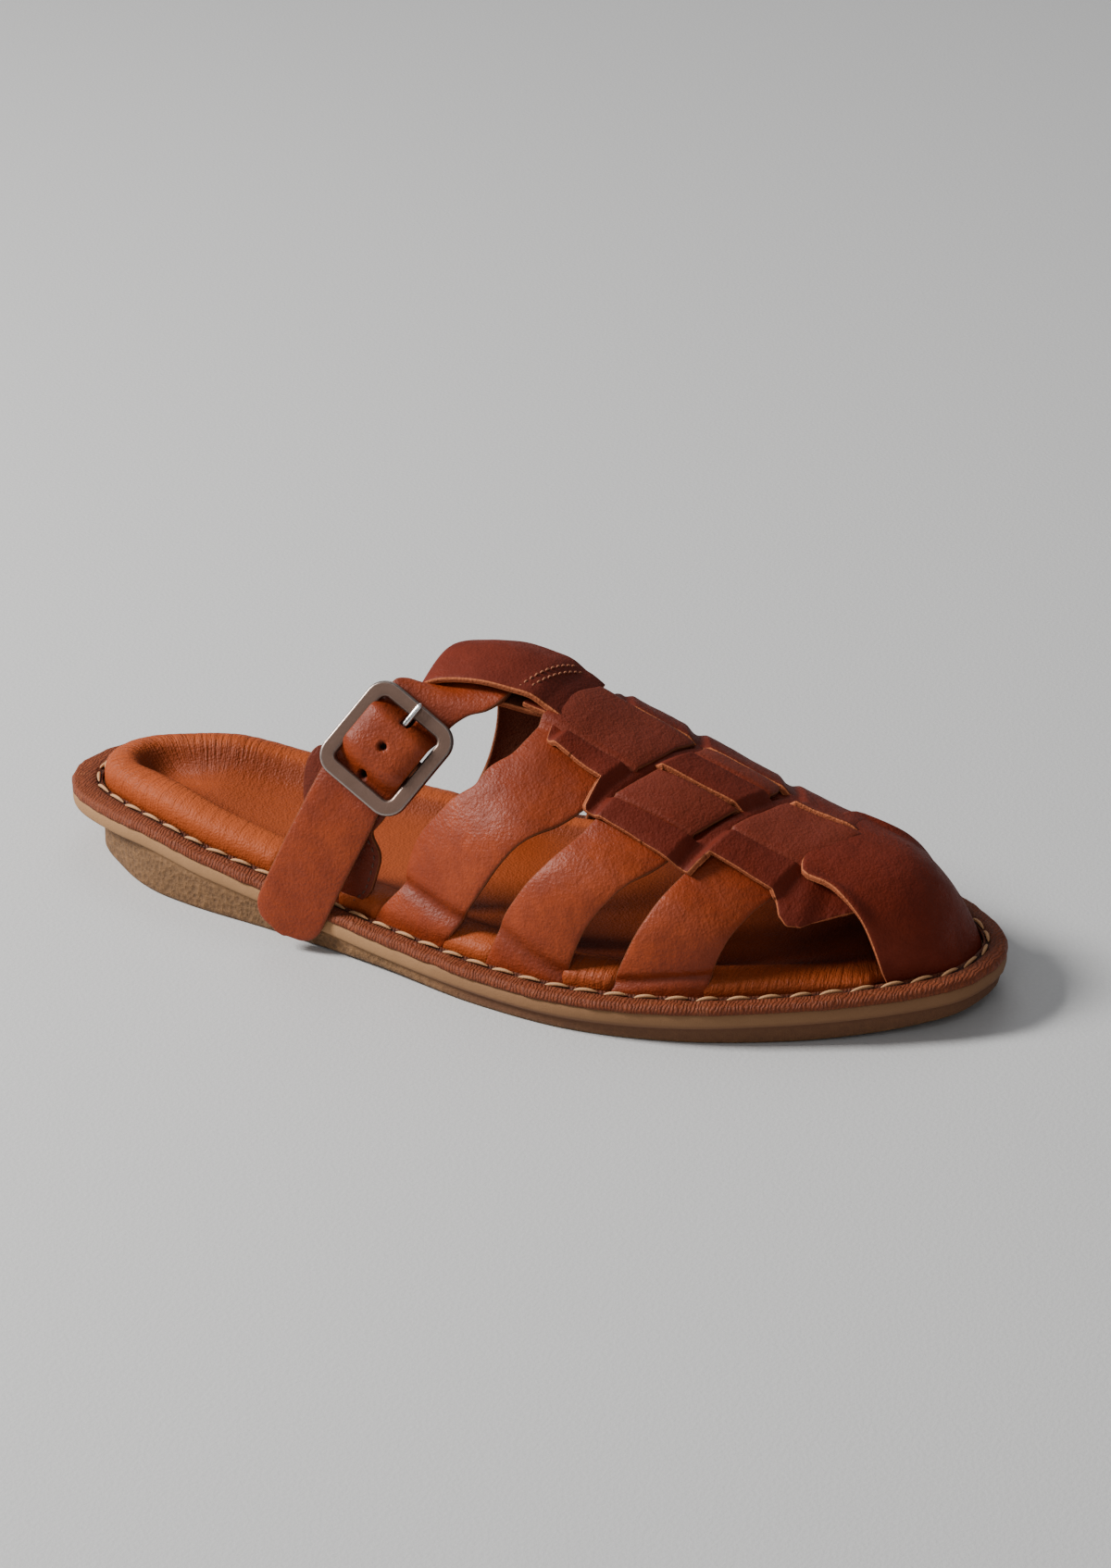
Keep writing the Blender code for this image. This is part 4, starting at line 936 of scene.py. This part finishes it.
# The loop seen from the side: over the instep strap, round the rear fold, and back beneath it
loop_path = [
    (LOOP_FRONT + 0.020, 0.0003), (LOOP_FRONT + 0.008, 0.0009), (LOOP_FRONT, 0.0012),
    (LOOP_FRONT - 0.016, LEATHER + CLEAR * 0.9), (LOOP_FRONT - 0.035, LEATHER + CLEAR * 1.2),
    (LOOP_REAR + 0.06, LEATHER + CLEAR * 1.6), (LOOP_REAR + 0.03, LEATHER + CLEAR * 1.4),
    (LOOP_REAR + 0.010, LEATHER + CLEAR * 0.9), (LOOP_REAR + 0.002, LEATHER * 0.75 + CLEAR * 0.5),
    (LOOP_REAR - 0.001, 0.0), (LOOP_REAR + 0.002, -LEATHER * 0.8 - CLEAR * 0.6),
    (LOOP_REAR + 0.012, -LEATHER - CLEAR), (LOOP_REAR + 0.03, -LEATHER - CLEAR),
    (LOOP_FRONT - 0.035, -LEATHER - CLEAR), (LOOP_FRONT - 0.016, -LEATHER - CLEAR * 0.5),
    (LOOP_FRONT + 0.004, -LEATHER * 0.8), (LOOP_FRONT + 0.014, -LEATHER * 0.7),
]
path = spline_through([(a * SOLE_LENGTH, b) for a, b in loop_path], LOOP_ROWS)
run = np.gradient(path, axis=0)
run /= np.linalg.norm(run, axis=1)[:, None]
outer = path + np.stack([-run[:, 1], run[:, 0]], axis=1) * -LEATHER * 0.5
loop_along, loop_lift = outer[:, 0] / SOLE_LENGTH, outer[:, 1] + LEATHER / 2
across_steps = np.linspace(-1, 1, LOOP_COLUMNS)
flare = 1 + 0.10 * ease((0.52 - loop_along) / 0.08) - 0.03 * np.sin(loop_along * 60)
loop_half = SHEET_HALF * flare * (1 - 0.09 * ease((-loop_lift - 0.0005) / 0.001))
reach = loop_half[:, None] * across_steps[None, :]
grid_along = np.broadcast_to(loop_along[:, None], reach.shape)
turn_up = 0.0007 * np.abs(across_steps) ** 4 * (loop_lift[:, None] > LEATHER)
points = on_last(grid_along, across_for(grid_along, reach), loop_lift[:, None] + turn_up).reshape(-1, 3)
points[:, 2] += wobble(points, 120.0, 51.0) * 0.00025
# Painted shade: the loop darkens towards its front
loop_shade_and_tone = np.clip(0.25 + 0.35 * ease((grid_along - 0.50) / 0.05), 0, 1).reshape(-1)
middle_of_loop = on_last(0.5 * (LOOP_FRONT + LOOP_REAR), 0.0, 0.0).reshape(3)
loop = hide(
    "strap_loop", points, grid_faces(LOOP_ROWS, LOOP_COLUMNS), LEATHER * 0.95, russet,
    {"shade_and_tone": loop_shade_and_tone, "crease_and_shade": 0.0},
    outwards=lambda middle: np.column_stack([np.zeros(len(middle)), (middle - middle_of_loop)[:, 1:]]),
)
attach(loop, "root")
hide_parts("upper")

# Instep strap: a cognac strap that comes up from the inner side, through the loop and the
# buckle, bulges over the bar and hangs down outside the sole edge as its tail.
STRAP_WIDTH = 0.0182
CARRIER_WIDTH, CARRIER_THICK = 0.0205, 0.0015
FRAME_LENGTH, FRAME_WIDTH, FRAME_RIM, FRAME_THICK, FRAME_CORNER = 0.0290, 0.0272, 0.0036, 0.0024, 0.0058
BAR_RADIUS, BAR_DROP, PRONG_RADIUS = 0.0011, 0.0016, 0.0008
OPEN_RIM = FRAME_RIM + 0.0005
STRAP_SHIFT = 0.0006
TAIL_CORNER, HOLE_DEEP = 0.0066, 0.0016
# The strap's holes: how far towards the crest in the buckle's axes, and half the length and width
HOLES = [(0.0, 0.0011, 0.0011), (-0.0092, 0.0011, 0.0011), (0.0088, 0.0020, 0.0013)]
HALF_FRAME = FRAME_LENGTH / 2
UNDER_RIM = -(FRAME_THICK + LEATHER) / 2 - GAP
OVER_BAR = -BAR_DROP + BAR_RADIUS + CARRIER_THICK + LEATHER / 2 + 3 * GAP
FOLD_RADIUS = BAR_RADIUS + GAP + CARRIER_THICK / 2
UNDER_TAIL = UNDER_RIM - LEATHER / 2 - CARRIER_THICK / 2 - 2 * GAP
# A strap's way over the last: shares of the length at its outer foot, the crest and its inner foot, and
# how late it bends towards them
INSTEP = (0.305, 0.475, 0.414, 1.90)
CARRIER = (0.322, 0.420, 0.322, 1.0)
# The buckle's middle and its axes, towards the crest and along the bar
BUCKLE_AT = np.array([-0.0290, 0.0243, 0.0570]) - CENTRE
BUCKLE_RUN = np.array([0.532, -0.460, 0.711])
BUCKLE_BAR = np.array([0.047, 0.854, 0.517])


def unit(vector):
    return vector / (np.linalg.norm(vector, axis=-1, keepdims=True) + 1e-12)


BUCKLE_OUT = unit(np.cross(BUCKLE_RUN, BUCKLE_BAR))


def at_buckle(run, side, out):
    """A point in the buckle's own axes: towards the crest, along the bar, and outwards."""
    return BUCKLE_AT + BUCKLE_RUN * run + BUCKLE_BAR * side + BUCKLE_OUT * out


def path_along(path, across):
    """Share of the length of a strap's middle line at one place across the shoe."""
    foot, bend = (path[0], path[3]) if across < 0 else (path[2], path[3] * 1.9)
    return path[1] + (foot - path[1]) * abs(across) ** bend


def bulge(run):
    """Level of the instep strap in the buckle: down under the rims and up over the bar."""
    flat = 0.0040 if run < 0 else 0.0062
    rise = 1 - ease((abs(run) - flat) / (HALF_FRAME - OPEN_RIM - 0.0004 - flat))
    return UNDER_RIM + (OVER_BAR - UNDER_RIM) * float(rise)


def last_place(path, across, width, lift, hand=1):
    """Middle, side direction and outward normal of a strap lying on the last at one place across."""
    middle = path_along(path, across)
    here = on_last(middle, across, lift).reshape(3)
    ahead = on_last(path_along(path, across + 0.02), across + 0.02, lift).reshape(3)
    behind = on_last(path_along(path, across - 0.02), across - 0.02, lift).reshape(3)
    slant = abs((ahead - behind)[1]) / np.linalg.norm(ahead - behind)
    half = width / 2 / SOLE_LENGTH / math.sqrt(1 - 0.8 * slant**2)
    one, other = (on_last(middle + half * way, across, lift).reshape(3) for way in (hand, -hand))
    out = unit(on_last(middle, across, lift + 0.001).reshape(3) - here)
    return here, (one - other) / 2, out


def smooth_track(rows, count):
    """Rows of middle, side and normal, turned to the same side, made even and smooth along the strap."""
    for i in range(1, len(rows)):
        if rows[i][1] @ rows[i - 1][1] < 0:
            rows[i] = (rows[i][0], -rows[i][1], rows[i][2])
    scales = np.array([1] * 6 + [0.004] * 3)
    track = spline_through(np.array([np.concatenate(row) for row in rows]) * scales, count)
    middle, side, out = track[:, :3], track[:, 3:6], unit(track[:, 6:9])
    run = unit(np.gradient(middle, axis=0))
    return middle, side, unit(out - run * np.einsum("ij,ij->i", run, out)[:, None])


def make_instep_strap():
    rows = []
    for across in (0.985, 0.93, 0.86, 0.78, 0.69, 0.60, 0.50, 0.40, 0.31, 0.22, 0.14, 0.07, 0.0, -0.07, -0.14, -0.20):
        rows.append(last_place(INSTEP, across, STRAP_WIDTH, LEATHER / 2))
    first, first_side, _ = rows[-1]
    before = last_place(INSTEP, -0.17, STRAP_WIDTH, LEATHER / 2)[0]
    last = at_buckle(HALF_FRAME + 0.0005, STRAP_SHIFT, UNDER_RIM)
    span = np.linalg.norm(last - first)
    start_run, stop_run = unit(first - before) * span, -BUCKLE_RUN * span
    for t in (0.34, 0.67, 1.0):
        h = hermite(t)
        place = h[0] * first + h[1] * start_run + h[2] * last + h[3] * stop_run
        side = unit(unit(first_side) * (1 - t) - BUCKLE_BAR * t) * STRAP_WIDTH / 2
        rows.append((place, side, unit(BUCKLE_OUT * t + np.array([-0.35, 0.0, 0.95]) * (1 - t))))
    for run in (122, 108, 98, 90, 82, 72, 60, 40, 15, -15, -40, -60, -74, -88, -102, -122, -145):
        run = run * 1e-4
        rows.append((at_buckle(run, STRAP_SHIFT, bulge(run)), -BUCKLE_BAR * STRAP_WIDTH / 2, BUCKLE_OUT))
    start = rows[-1][0]
    foot = on_last(INSTEP[0], -1.0, 0.0).reshape(3)
    end = np.array([foot[0] - 0.0137, foot[1] - 0.0026, 0.0052])
    tail_run = unit(end - start)
    for t in (0.14, 0.30, 0.48, 0.66, 0.82, 0.92, 1.0):
        out = unit(BUCKLE_OUT * (1 - t) + np.array([-1.0, -0.15, 0.25]) * t)
        out = unit(out - tail_run * (tail_run @ out))
        place = start + (end - start) * t + BUCKLE_OUT * math.sin(math.pi * t) * 0.0016
        rows.append((place, np.cross(tail_run, out) * STRAP_WIDTH / 2, out))
    middle, side, out = smooth_track(rows, 330)
    length = lengths(middle)
    left = length[-1] - length
    corner = TAIL_CORNER - np.sqrt(np.maximum(TAIL_CORNER**2 - np.maximum(TAIL_CORNER - left, 0) ** 2, 0.0))
    narrow = 1 - corner / (STRAP_WIDTH / 2)
    share = np.linspace(-1, 1, 47)
    share = share * 0.7 + np.sin(share * math.pi / 2) * 0.3
    inside = 1 - ease((np.linalg.norm(middle - BUCKLE_AT, axis=1) - 0.006) / 0.004)
    narrow = narrow * (1 + 0.03 * inside)
    crown = -(0.00045 + 0.0012 * inside[:, None]) * np.abs(share[None, :]) ** 4
    points = middle[:, None] + side[:, None] * (narrow[:, None] * share[None, :])[..., None]
    points = points + out[:, None] * (LEATHER / 2 + crown)[..., None]
    flat = points.reshape(-1, 3)
    at_rims = np.zeros(len(middle))
    for end_run in (-HALF_FRAME + FRAME_RIM / 2, HALF_FRAME - FRAME_RIM / 2):
        place = at_buckle(end_run, STRAP_SHIFT, UNDER_RIM)
        at_rims = np.maximum(at_rims, bump_at(np.linalg.norm(middle - place, axis=1), 0.0, 0.004))
    near_buckle = np.linalg.norm(middle - BUCKLE_AT, axis=1) < 0.016
    soft = np.repeat(np.where(near_buckle, 0.25, 1.0), len(share))
    flat += np.repeat(out, len(share), axis=0) * (wobble(flat, 110.0, 61.0) * 0.00030 * soft)[:, None]
    # Painted shade: the strap darkens where it passes under the buckle's rims
    shade_and_tone = np.repeat(np.clip(0.05 + 0.55 * at_rims, 0, 1), len(share))
    crease_and_shade = np.repeat(at_rims * 0.25, len(share))
    pits = np.zeros(len(flat))
    for run, long, wide in HOLES:
        away = flat - at_buckle(run, 0.0 if run > 0 else STRAP_SHIFT, bulge(run))
        along, across = away @ BUCKLE_RUN / long, away @ BUCKLE_BAR / wide
        near = np.abs(away @ BUCKLE_OUT) < 0.004
        pits = np.maximum(pits, np.where(near, 1 - ease((np.sqrt(along**2 + across**2) - 0.72) / 0.5), 0))
    flat -= np.repeat(out, len(share), axis=0) * (pits * HOLE_DEEP)[:, None]
    marks = {"shade_and_tone": shade_and_tone, "crease_and_shade": crease_and_shade, "hole": pits}
    made = hide(
        "instep_leather", flat, grid_faces(len(middle), len(share)), LEATHER, cognac, marks,
        outwards=lambda middle_points: middle_points - np.array([0.0, 0.02, 0.0]),
    )
    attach(made, "root")
    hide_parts("instep_strap")


make_instep_strap()

# Carrier strap: a thinner strap sewn into the outer side, folded round the buckle's bar and
# closed by fine dark stitches that show along its rear edge, beside the tail.


def make_carrier():
    rows = []
    for across in (-0.99, -0.93, -0.86, -0.79):
        rows.append(last_place(CARRIER, across, CARRIER_WIDTH, CARRIER_THICK / 2, -1))
    narrow = FRAME_WIDTH / 2 - OPEN_RIM - GAP
    for run, out, half in (
        (-HALF_FRAME, UNDER_TAIL, narrow + 0.0008),
        (-0.0090, UNDER_TAIL, narrow),
        (-0.0045, (UNDER_TAIL - BAR_DROP - FOLD_RADIUS) / 2, narrow),
    ):
        rows.append((at_buckle(run, 0, out), -BUCKLE_BAR * half, BUCKLE_OUT))
    for angle in (-80, -45, -10, 25, 60, 95, 130, 165):
        turn = math.radians(angle)
        place = at_buckle(math.cos(turn) * FOLD_RADIUS, 0, math.sin(turn) * FOLD_RADIUS - BAR_DROP)
        rows.append((place, -BUCKLE_BAR * narrow, -(BUCKLE_RUN * math.cos(turn) + BUCKLE_OUT * math.sin(turn))))
    middle, side, out = smooth_track(rows, 150)
    share = np.linspace(-1, 1, 15)
    far = np.linalg.norm(middle - BUCKLE_AT, axis=1)
    # Below the buckle the strap is cut wider to the rear; it narrows again at its sewn end
    rearwards = 0.0075 * ease((far - 0.0220) / 0.014) * (1 - 0.75 * ease((far - 0.042) / 0.010))
    forwards = 0.0050 * ease((far - 0.0085) / 0.004) - 0.0090 * ease((far - 0.0130) / 0.022)
    points = middle[:, None] + side[:, None] * share[None, :, None] + (out * CARRIER_THICK / 2)[:, None]
    points = points - (unit(side) * rearwards[:, None])[:, None] * ((1 - share) / 2)[None, :, None]
    points = points + (unit(side) * forwards[:, None])[:, None] * ((1 + share) / 2)[None, :, None]
    middle = middle - unit(side) * rearwards[:, None]
    # Painted shade: the whole carrier is darkened, as it lies in shade beside the tail
    made = hide(
        "carrier_leather", points.reshape(-1, 3), grid_faces(len(middle), len(share)), CARRIER_THICK, cognac,
        {"shade_and_tone": 0.9, "crease_and_shade": 0.35},
        outwards=lambda m: np.repeat(out[:-1] + out[1:], len(share) - 1, axis=0),
    )
    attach(made, "root")
    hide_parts("buckle_strap")
    return middle, side, out


carrier_middle, carrier_side, carrier_out = make_carrier()

# Buckle: a cast frame with a bar across it, plated gunmetal, its flat face brushed and its
# bevels painted bright as highlights, and a round steel prong curled on the bar.
gunmetal = Finish("gunmetal_plate", Metallic=1.0)
brushed = gunmetal.noise(1.0, 2.0, 0.5, at=gunmetal.stretched((900.0, 2600.0, 900.0)))
highlight_and_wear = gunmetal.seen("bright")
plate_colour = gunmetal.blend(gunmetal.noise(140.0, 4.0, 0.6), (0.150, 0.092, 0.070), (0.205, 0.132, 0.104))
# Painted highlight: the bevels' colour is lightened where they catch the lamps, and they are also made smoother
plate_colour = gunmetal.blend(highlight_and_wear * 0.8, plate_colour, (0.60, 0.56, 0.53))
gunmetal.wear(
    plate_colour, gunmetal.between(brushed, 0.3, 0.7) * 0.12 + 0.42 - highlight_and_wear * 0.26,
    brushed * 0.5 + gunmetal.noise(700.0, 3.0) * 0.5, 0.00006,
)
steel = Finish("prong_steel", Metallic=1.0)
steel.wear(
    steel.blend(steel.noise(400.0, 3.0), (0.55, 0.54, 0.53), (0.80, 0.79, 0.78)),
    steel.noise(900.0, 3.0) * 0.15 + 0.16, steel.noise(1800.0, 2.0), 0.00004,
)
# How far inside the outline, the level as a share of half the thickness, and how bright the plating is painted, a
# painted highlight on the bevels
SECTION = [
    (0.0012, -1.0, 0), (0.0004, -1.0, 0), (0.0001, -0.85, 0), (0.0, -0.6, 0), (0.0, 0.45, 0), (0.0001, 0.72, 0.3),
    (0.00035, 0.93, 0.50), (0.0006, 1.0, 0.15), (0.0008, 1.0, 0), (0.0020, 0.98, 0), (OPEN_RIM - 0.0007, 0.96, 0),
    (OPEN_RIM - 0.0005, 0.93, 0.15), (OPEN_RIM - 0.0002, 0.80, 0.10), (OPEN_RIM, 0.55, -0.8),
    (OPEN_RIM, 0.1, -0.8), (OPEN_RIM, -0.8, -0.8), (OPEN_RIM - 0.0003, -1.0, -0.8),
]
CORNER_POINTS = 14
points, bright = [], []
for shrink, level, shine in SECTION:
    radius = max(FRAME_CORNER - shrink, 0.0018)
    long, wide = HALF_FRAME - shrink - radius, FRAME_WIDTH / 2 - shrink - radius
    for quarter, (sx, sy) in enumerate(((1, 1), (-1, 1), (-1, -1), (1, -1))):
        for k in range(CORNER_POINTS):
            angle = (quarter + k / (CORNER_POINTS - 1)) * math.pi / 2
            place = (sx * long + radius * math.cos(angle), sy * wide + radius * math.sin(angle))
            points.append(at_buckle(*place, level * FRAME_THICK / 2))
            bright.append(shine)
around = 4 * CORNER_POINTS
faces = []
for r in range(len(SECTION)):
    low_ring, high_ring = r * around, (r + 1) % len(SECTION) * around
    for k in range(around):
        n = (k + 1) % around
        faces.append((low_ring + k, low_ring + n, high_ring + n, high_ring + k))


def rod(path, radius, sides, tip=0.0):
    """Points and faces of a round rod along a path, its last end drawn to a rounded tip."""
    path = np.array(path)
    made_points, made_faces = [], []
    across = unit(np.cross(path[1] - path[0], np.array([0.31, 0.90, 0.22])))
    run = unit(np.gradient(path, axis=0))
    for i, place in enumerate(path):
        across = unit(across - run[i] * (across @ run[i]))
        other = np.cross(run[i], across)
        from_end = np.linalg.norm(path[-1] - place)
        size = radius * math.sqrt(max(1 - max(1 - from_end / tip, 0) ** 2, 0.02)) if tip else radius
        for k in range(sides):
            angle = 2 * math.pi * k / sides
            made_points.append(place + size * (math.cos(angle) * across + math.sin(angle) * other))
    for r in range(len(path) - 1):
        for k in range(sides):
            n = (k + 1) % sides
            made_faces.append((r * sides + k, r * sides + n, (r + 1) * sides + n, (r + 1) * sides + k))
    end = (len(path) - 1) * sides
    made_faces += [tuple(range(sides))[::-1], tuple(range(end, end + sides))]
    return made_points, made_faces


reach = FRAME_WIDTH / 2 - FRAME_RIM / 2
bar_points, bar_faces = rod([at_buckle(0, s, -BAR_DROP) for s in np.linspace(-reach, reach, 12)], BAR_RADIUS, 16)
first = len(points)
points += bar_points
faces += [tuple(v + first for v in f) for f in bar_faces]
# A faint painted highlight on the bar
bright += [0.2] * len(bar_points)
buckle = put("buckle_plate", points, faces, gunmetal.material)
mark(buckle, "bright", bright)
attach(buckle, "root")
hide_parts("buckle_frame")
curl = BAR_RADIUS + GAP + PRONG_RADIUS
path = []
for angle in (185, 215, 245, 275, 305, 335, 360, 390, 420):
    turn = math.radians(angle)
    path.append(at_buckle(math.cos(turn) * curl, 0, math.sin(turn) * curl - BAR_DROP))
for run_out in ((0.0030, 0.0007), (0.0050, 0.0010), (0.0075, 0.0017), (0.0100, 0.0022)):
    path.append(at_buckle(run_out[0], 0, run_out[1]))
rest = FRAME_THICK / 2 + GAP + PRONG_RADIUS
path += [at_buckle(HALF_FRAME - FRAME_RIM * 0.6, 0, rest), at_buckle(HALF_FRAME + 0.0003, 0, rest)]
points, faces = rod(spline_through(path, 70), PRONG_RADIUS, 18, tip=0.0009)
prong = put("prong_steel", points, faces, steel.material)
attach(prong, "root")
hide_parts("buckle_prong")

# Stitches: waxed cream thread sewn as saddle stitches in the strip's groove, and fine thread in
# two rows across the loop and down the carrier. Each stitch is a short bowed piece of thread.


def stitch_tree(name):
    """A tree that lays one bowed stitch at each step along a guide, its back turned to the guide's outside."""
    tree = bpy.data.node_groups.new(name, "GeometryNodeTree")
    face = tree.interface
    face.new_socket("Guide", in_out="INPUT", socket_type="NodeSocketGeometry")
    for label in ("Pitch", "Length", "Thickness", "Bow", "Slant"):
        face.new_socket(label, in_out="INPUT", socket_type="NodeSocketFloat")
    face.new_socket("Seed", in_out="INPUT", socket_type="NodeSocketInt")
    face.new_socket("Thread", in_out="INPUT", socket_type="NodeSocketMaterial")
    face.new_socket("Stitches", in_out="OUTPUT", socket_type="NodeSocketGeometry")
    given = tree.nodes.new("NodeGroupInput").outputs

    def add(kind, settings=None, **values):
        return new_node(tree, kind, settings, values)

    def maths(operation, a, b=0.0):
        return add("ShaderNodeMath", {"operation": operation}, i0=a, i1=b).outputs[0]

    def point(x=0.0, y=0.0, z=0.0):
        return add("ShaderNodeCombineXYZ", X=x, Y=y, Z=z).outputs[0]

    half = maths("MULTIPLY", given["Length"], 0.5)
    sunk = maths("MULTIPLY", given["Bow"], -0.8)
    left, right = point(maths("MULTIPLY", half, -1.0), z=sunk), point(half, z=sunk)
    top = point(z=maths("MULTIPLY", given["Bow"], 1.6))
    arc = add("GeometryNodeCurveQuadraticBezier", Resolution=7, Start=left, Middle=top, End=right)
    place = add("GeometryNodeSplineParameter").outputs[0]
    taper = maths("POWER", maths("SINE", maths("MULTIPLY", place, math.pi)), 0.35)
    swell = add("GeometryNodeSetCurveRadius", Curve=arc.outputs[0], Radius=maths("MAXIMUM", taper, 0.30))
    radius = maths("MULTIPLY", given["Thickness"], 0.5)
    ring = add("GeometryNodeCurvePrimitiveCircle", Resolution=8, Radius=radius)
    thread = add("GeometryNodeCurveToMesh", Curve=swell.outputs[0], Profile_Curve=ring.outputs[0], Fill_Caps=True)
    if "Scale" in thread.inputs:
        tree.links.new(maths("MAXIMUM", taper, 0.30), thread.inputs["Scale"])
    line = add("GeometryNodeMeshToCurve", Mesh=given["Guide"])
    even = add("GeometryNodeResampleCurve", {"mode": "LENGTH"}, Curve=line.outputs[0], Length=given["Pitch"])
    back = add("GeometryNodeInputNamedAttribute", {"data_type": "FLOAT_VECTOR"}, Name="outside").outputs[0]
    tangent = add("GeometryNodeInputTangent").outputs[0]
    lie = add("FunctionNodeAlignRotationToVector", {"axis": "X"}, Vector=tangent)
    about_x = {"axis": "Z", "pivot_axis": "X"}
    up = add("FunctionNodeAlignRotationToVector", about_x, Rotation=lie.outputs[0], Vector=back)
    chance = add("FunctionNodeRandomValue", {"data_type": "FLOAT"}, Seed=given["Seed"])
    jitter = maths("MULTIPLY", maths("SUBTRACT", chance.outputs[1], 0.5), 0.16)
    turn = point(z=maths("ADD", given["Slant"], jitter))
    rotate = add("FunctionNodeRotateRotation", {"rotation_space": "LOCAL"}, Rotation=up.outputs[0], Rotate_By=turn)
    again = add("FunctionNodeRandomValue", {"data_type": "FLOAT"}, Seed=maths("ADD", given["Seed"], 7.0))
    size = maths("ADD", maths("MULTIPLY", again.outputs[1], 0.16), 0.92)
    points = add("GeometryNodeCurveToPoints", {"mode": "EVALUATED"}, Curve=even.outputs[0])
    laid = add(
        "GeometryNodeInstanceOnPoints",
        Points=points.outputs[0],
        Instance=thread.outputs[0],
        Scale=point(size, 1.0, 1.0),
    )
    stored = add("GeometryNodeCaptureAttribute", Geometry=even.outputs[0])
    stored.capture_items.new("ROTATION", "turn")
    tree.links.new(rotate.outputs[0], stored.inputs[1])
    tree.links.new(stored.outputs[0], points.inputs[0])
    tree.links.new(stored.outputs[1], laid.inputs["Rotation"])
    real = add("GeometryNodeRealizeInstances", Geometry=laid.outputs[0])
    painted = add("GeometryNodeSetMaterial", Geometry=real.outputs[0], Material=given["Thread"])
    soft = add("GeometryNodeSetShadeSmooth", Geometry=painted.outputs[0])
    result = tree.nodes.new("NodeGroupOutput")
    tree.links.new(soft.outputs[0], result.inputs[0])
    return tree


STITCHES = stitch_tree("stitches")


def sew(name, lines, thread, **sizes):
    """Stitches along guide lines, each a list of points and of outward directions."""
    points, outside, edges = [], [], []
    for places, ups in lines:
        first = len(points)
        points += [tuple(p) for p in places]
        outside += [tuple(u) for u in ups]
        edges += [(first + i, first + i + 1) for i in range(len(places) - 1)]
    mesh = bpy.data.meshes.new(name + "_guide")
    mesh.from_pydata(points, edges, [])
    outside = np.array(outside, np.float32).ravel()
    mesh.attributes.new("outside", "FLOAT_VECTOR", "POINT").data.foreach_set("vector", outside)
    guide = linked(name + "_guide", mesh)
    nodes = guide.modifiers.new("stitches", "NODES")
    nodes.node_group = STITCHES
    sizes["Thread"] = thread
    for item in STITCHES.interface.items_tree:
        if item.in_out == "INPUT" and item.name in sizes:
            nodes[item.identifier] = sizes[item.name]
    graph = bpy.context.evaluated_depsgraph_get()
    sewn = bpy.data.meshes.new_from_object(guide.evaluated_get(graph))
    bpy.data.objects.remove(guide)
    made = linked(name, sewn)
    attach(made, "root")
    return made


def thread_finish(name, pale, shade_depth):
    thread = Finish(name)
    twist = thread.noise(2400.0, 2.0, 0.5)
    fleck = thread.noise(90.0, 3.0, 0.6)
    colour = thread.blend(fleck * 0.6 + twist * 0.4, shade_depth, pale)
    return thread.wear(colour, twist * 0.2 + 0.55, twist + thread.noise(5200.0, 1.0) * 0.5, 0.00012)


cream = thread_finish("cream_thread", (0.64, 0.36, 0.17), (0.38, 0.165, 0.065))
russet_thread = thread_finish("russet_thread", (0.46, 0.165, 0.075), (0.25, 0.075, 0.030))
dark_thread = thread_finish("dark_thread", (0.11, 0.042, 0.022), (0.05, 0.017, 0.010))
groove_line = np.column_stack([inset(STRIP_INNER - 0.00105), low + STRIP_THICK * 1.02]) - CENTRE
ups = np.column_stack([-INWARD * 0.35, np.ones(RING)])
groove_line = np.vstack([groove_line, groove_line[:1]])
ups = np.vstack([ups, ups[:1]])
saddle = sew(
    "saddle_stitches", [(groove_line, ups)], cream,
    Pitch=0.0078, Length=0.0060, Thickness=0.00098, Bow=0.00050, Slant=0.10, Seed=4,
)
turn = int(np.argmin(loop_along))
lines = []
for start in (0.0, 0.0080):
    share = np.linspace(-0.90, 0.90, 40)
    reach = share * SHEET_HALF
    along = LOOP_FRONT - 0.017 + start + 0.0125 * share
    lift = np.interp(along, loop_along[:turn][::-1], loop_lift[:turn][::-1])
    base_points = on_last(along, across_for(along, reach), lift + 0.0002)
    top_points = on_last(along, across_for(along, reach), lift + 0.0012)
    lines.append((base_points, unit(top_points - base_points)))
fine = sew(
    "loop_stitches", lines, russet_thread,
    Pitch=0.0021, Length=0.0016, Thickness=0.00052, Bow=0.00022, Slant=0.12, Seed=9,
)
on_face = carrier_out * (CARRIER_THICK / 2 + 0.00005)
rear_edge, front_edge = (carrier_middle + carrier_side * share + on_face for share in (-0.90, 0.90))
kept = (lengths(rear_edge) > 0.002) & (np.linalg.norm(rear_edge - BUCKLE_AT, axis=1) > 0.013)
edge_stitches = sew(
    "carrier_stitches", [(edge[kept], carrier_out[kept]) for edge in (rear_edge, front_edge)], dark_thread,
    Pitch=0.0021, Length=0.0015, Thickness=0.00050, Bow=0.00020, Slant=0.0, Seed=2,
)
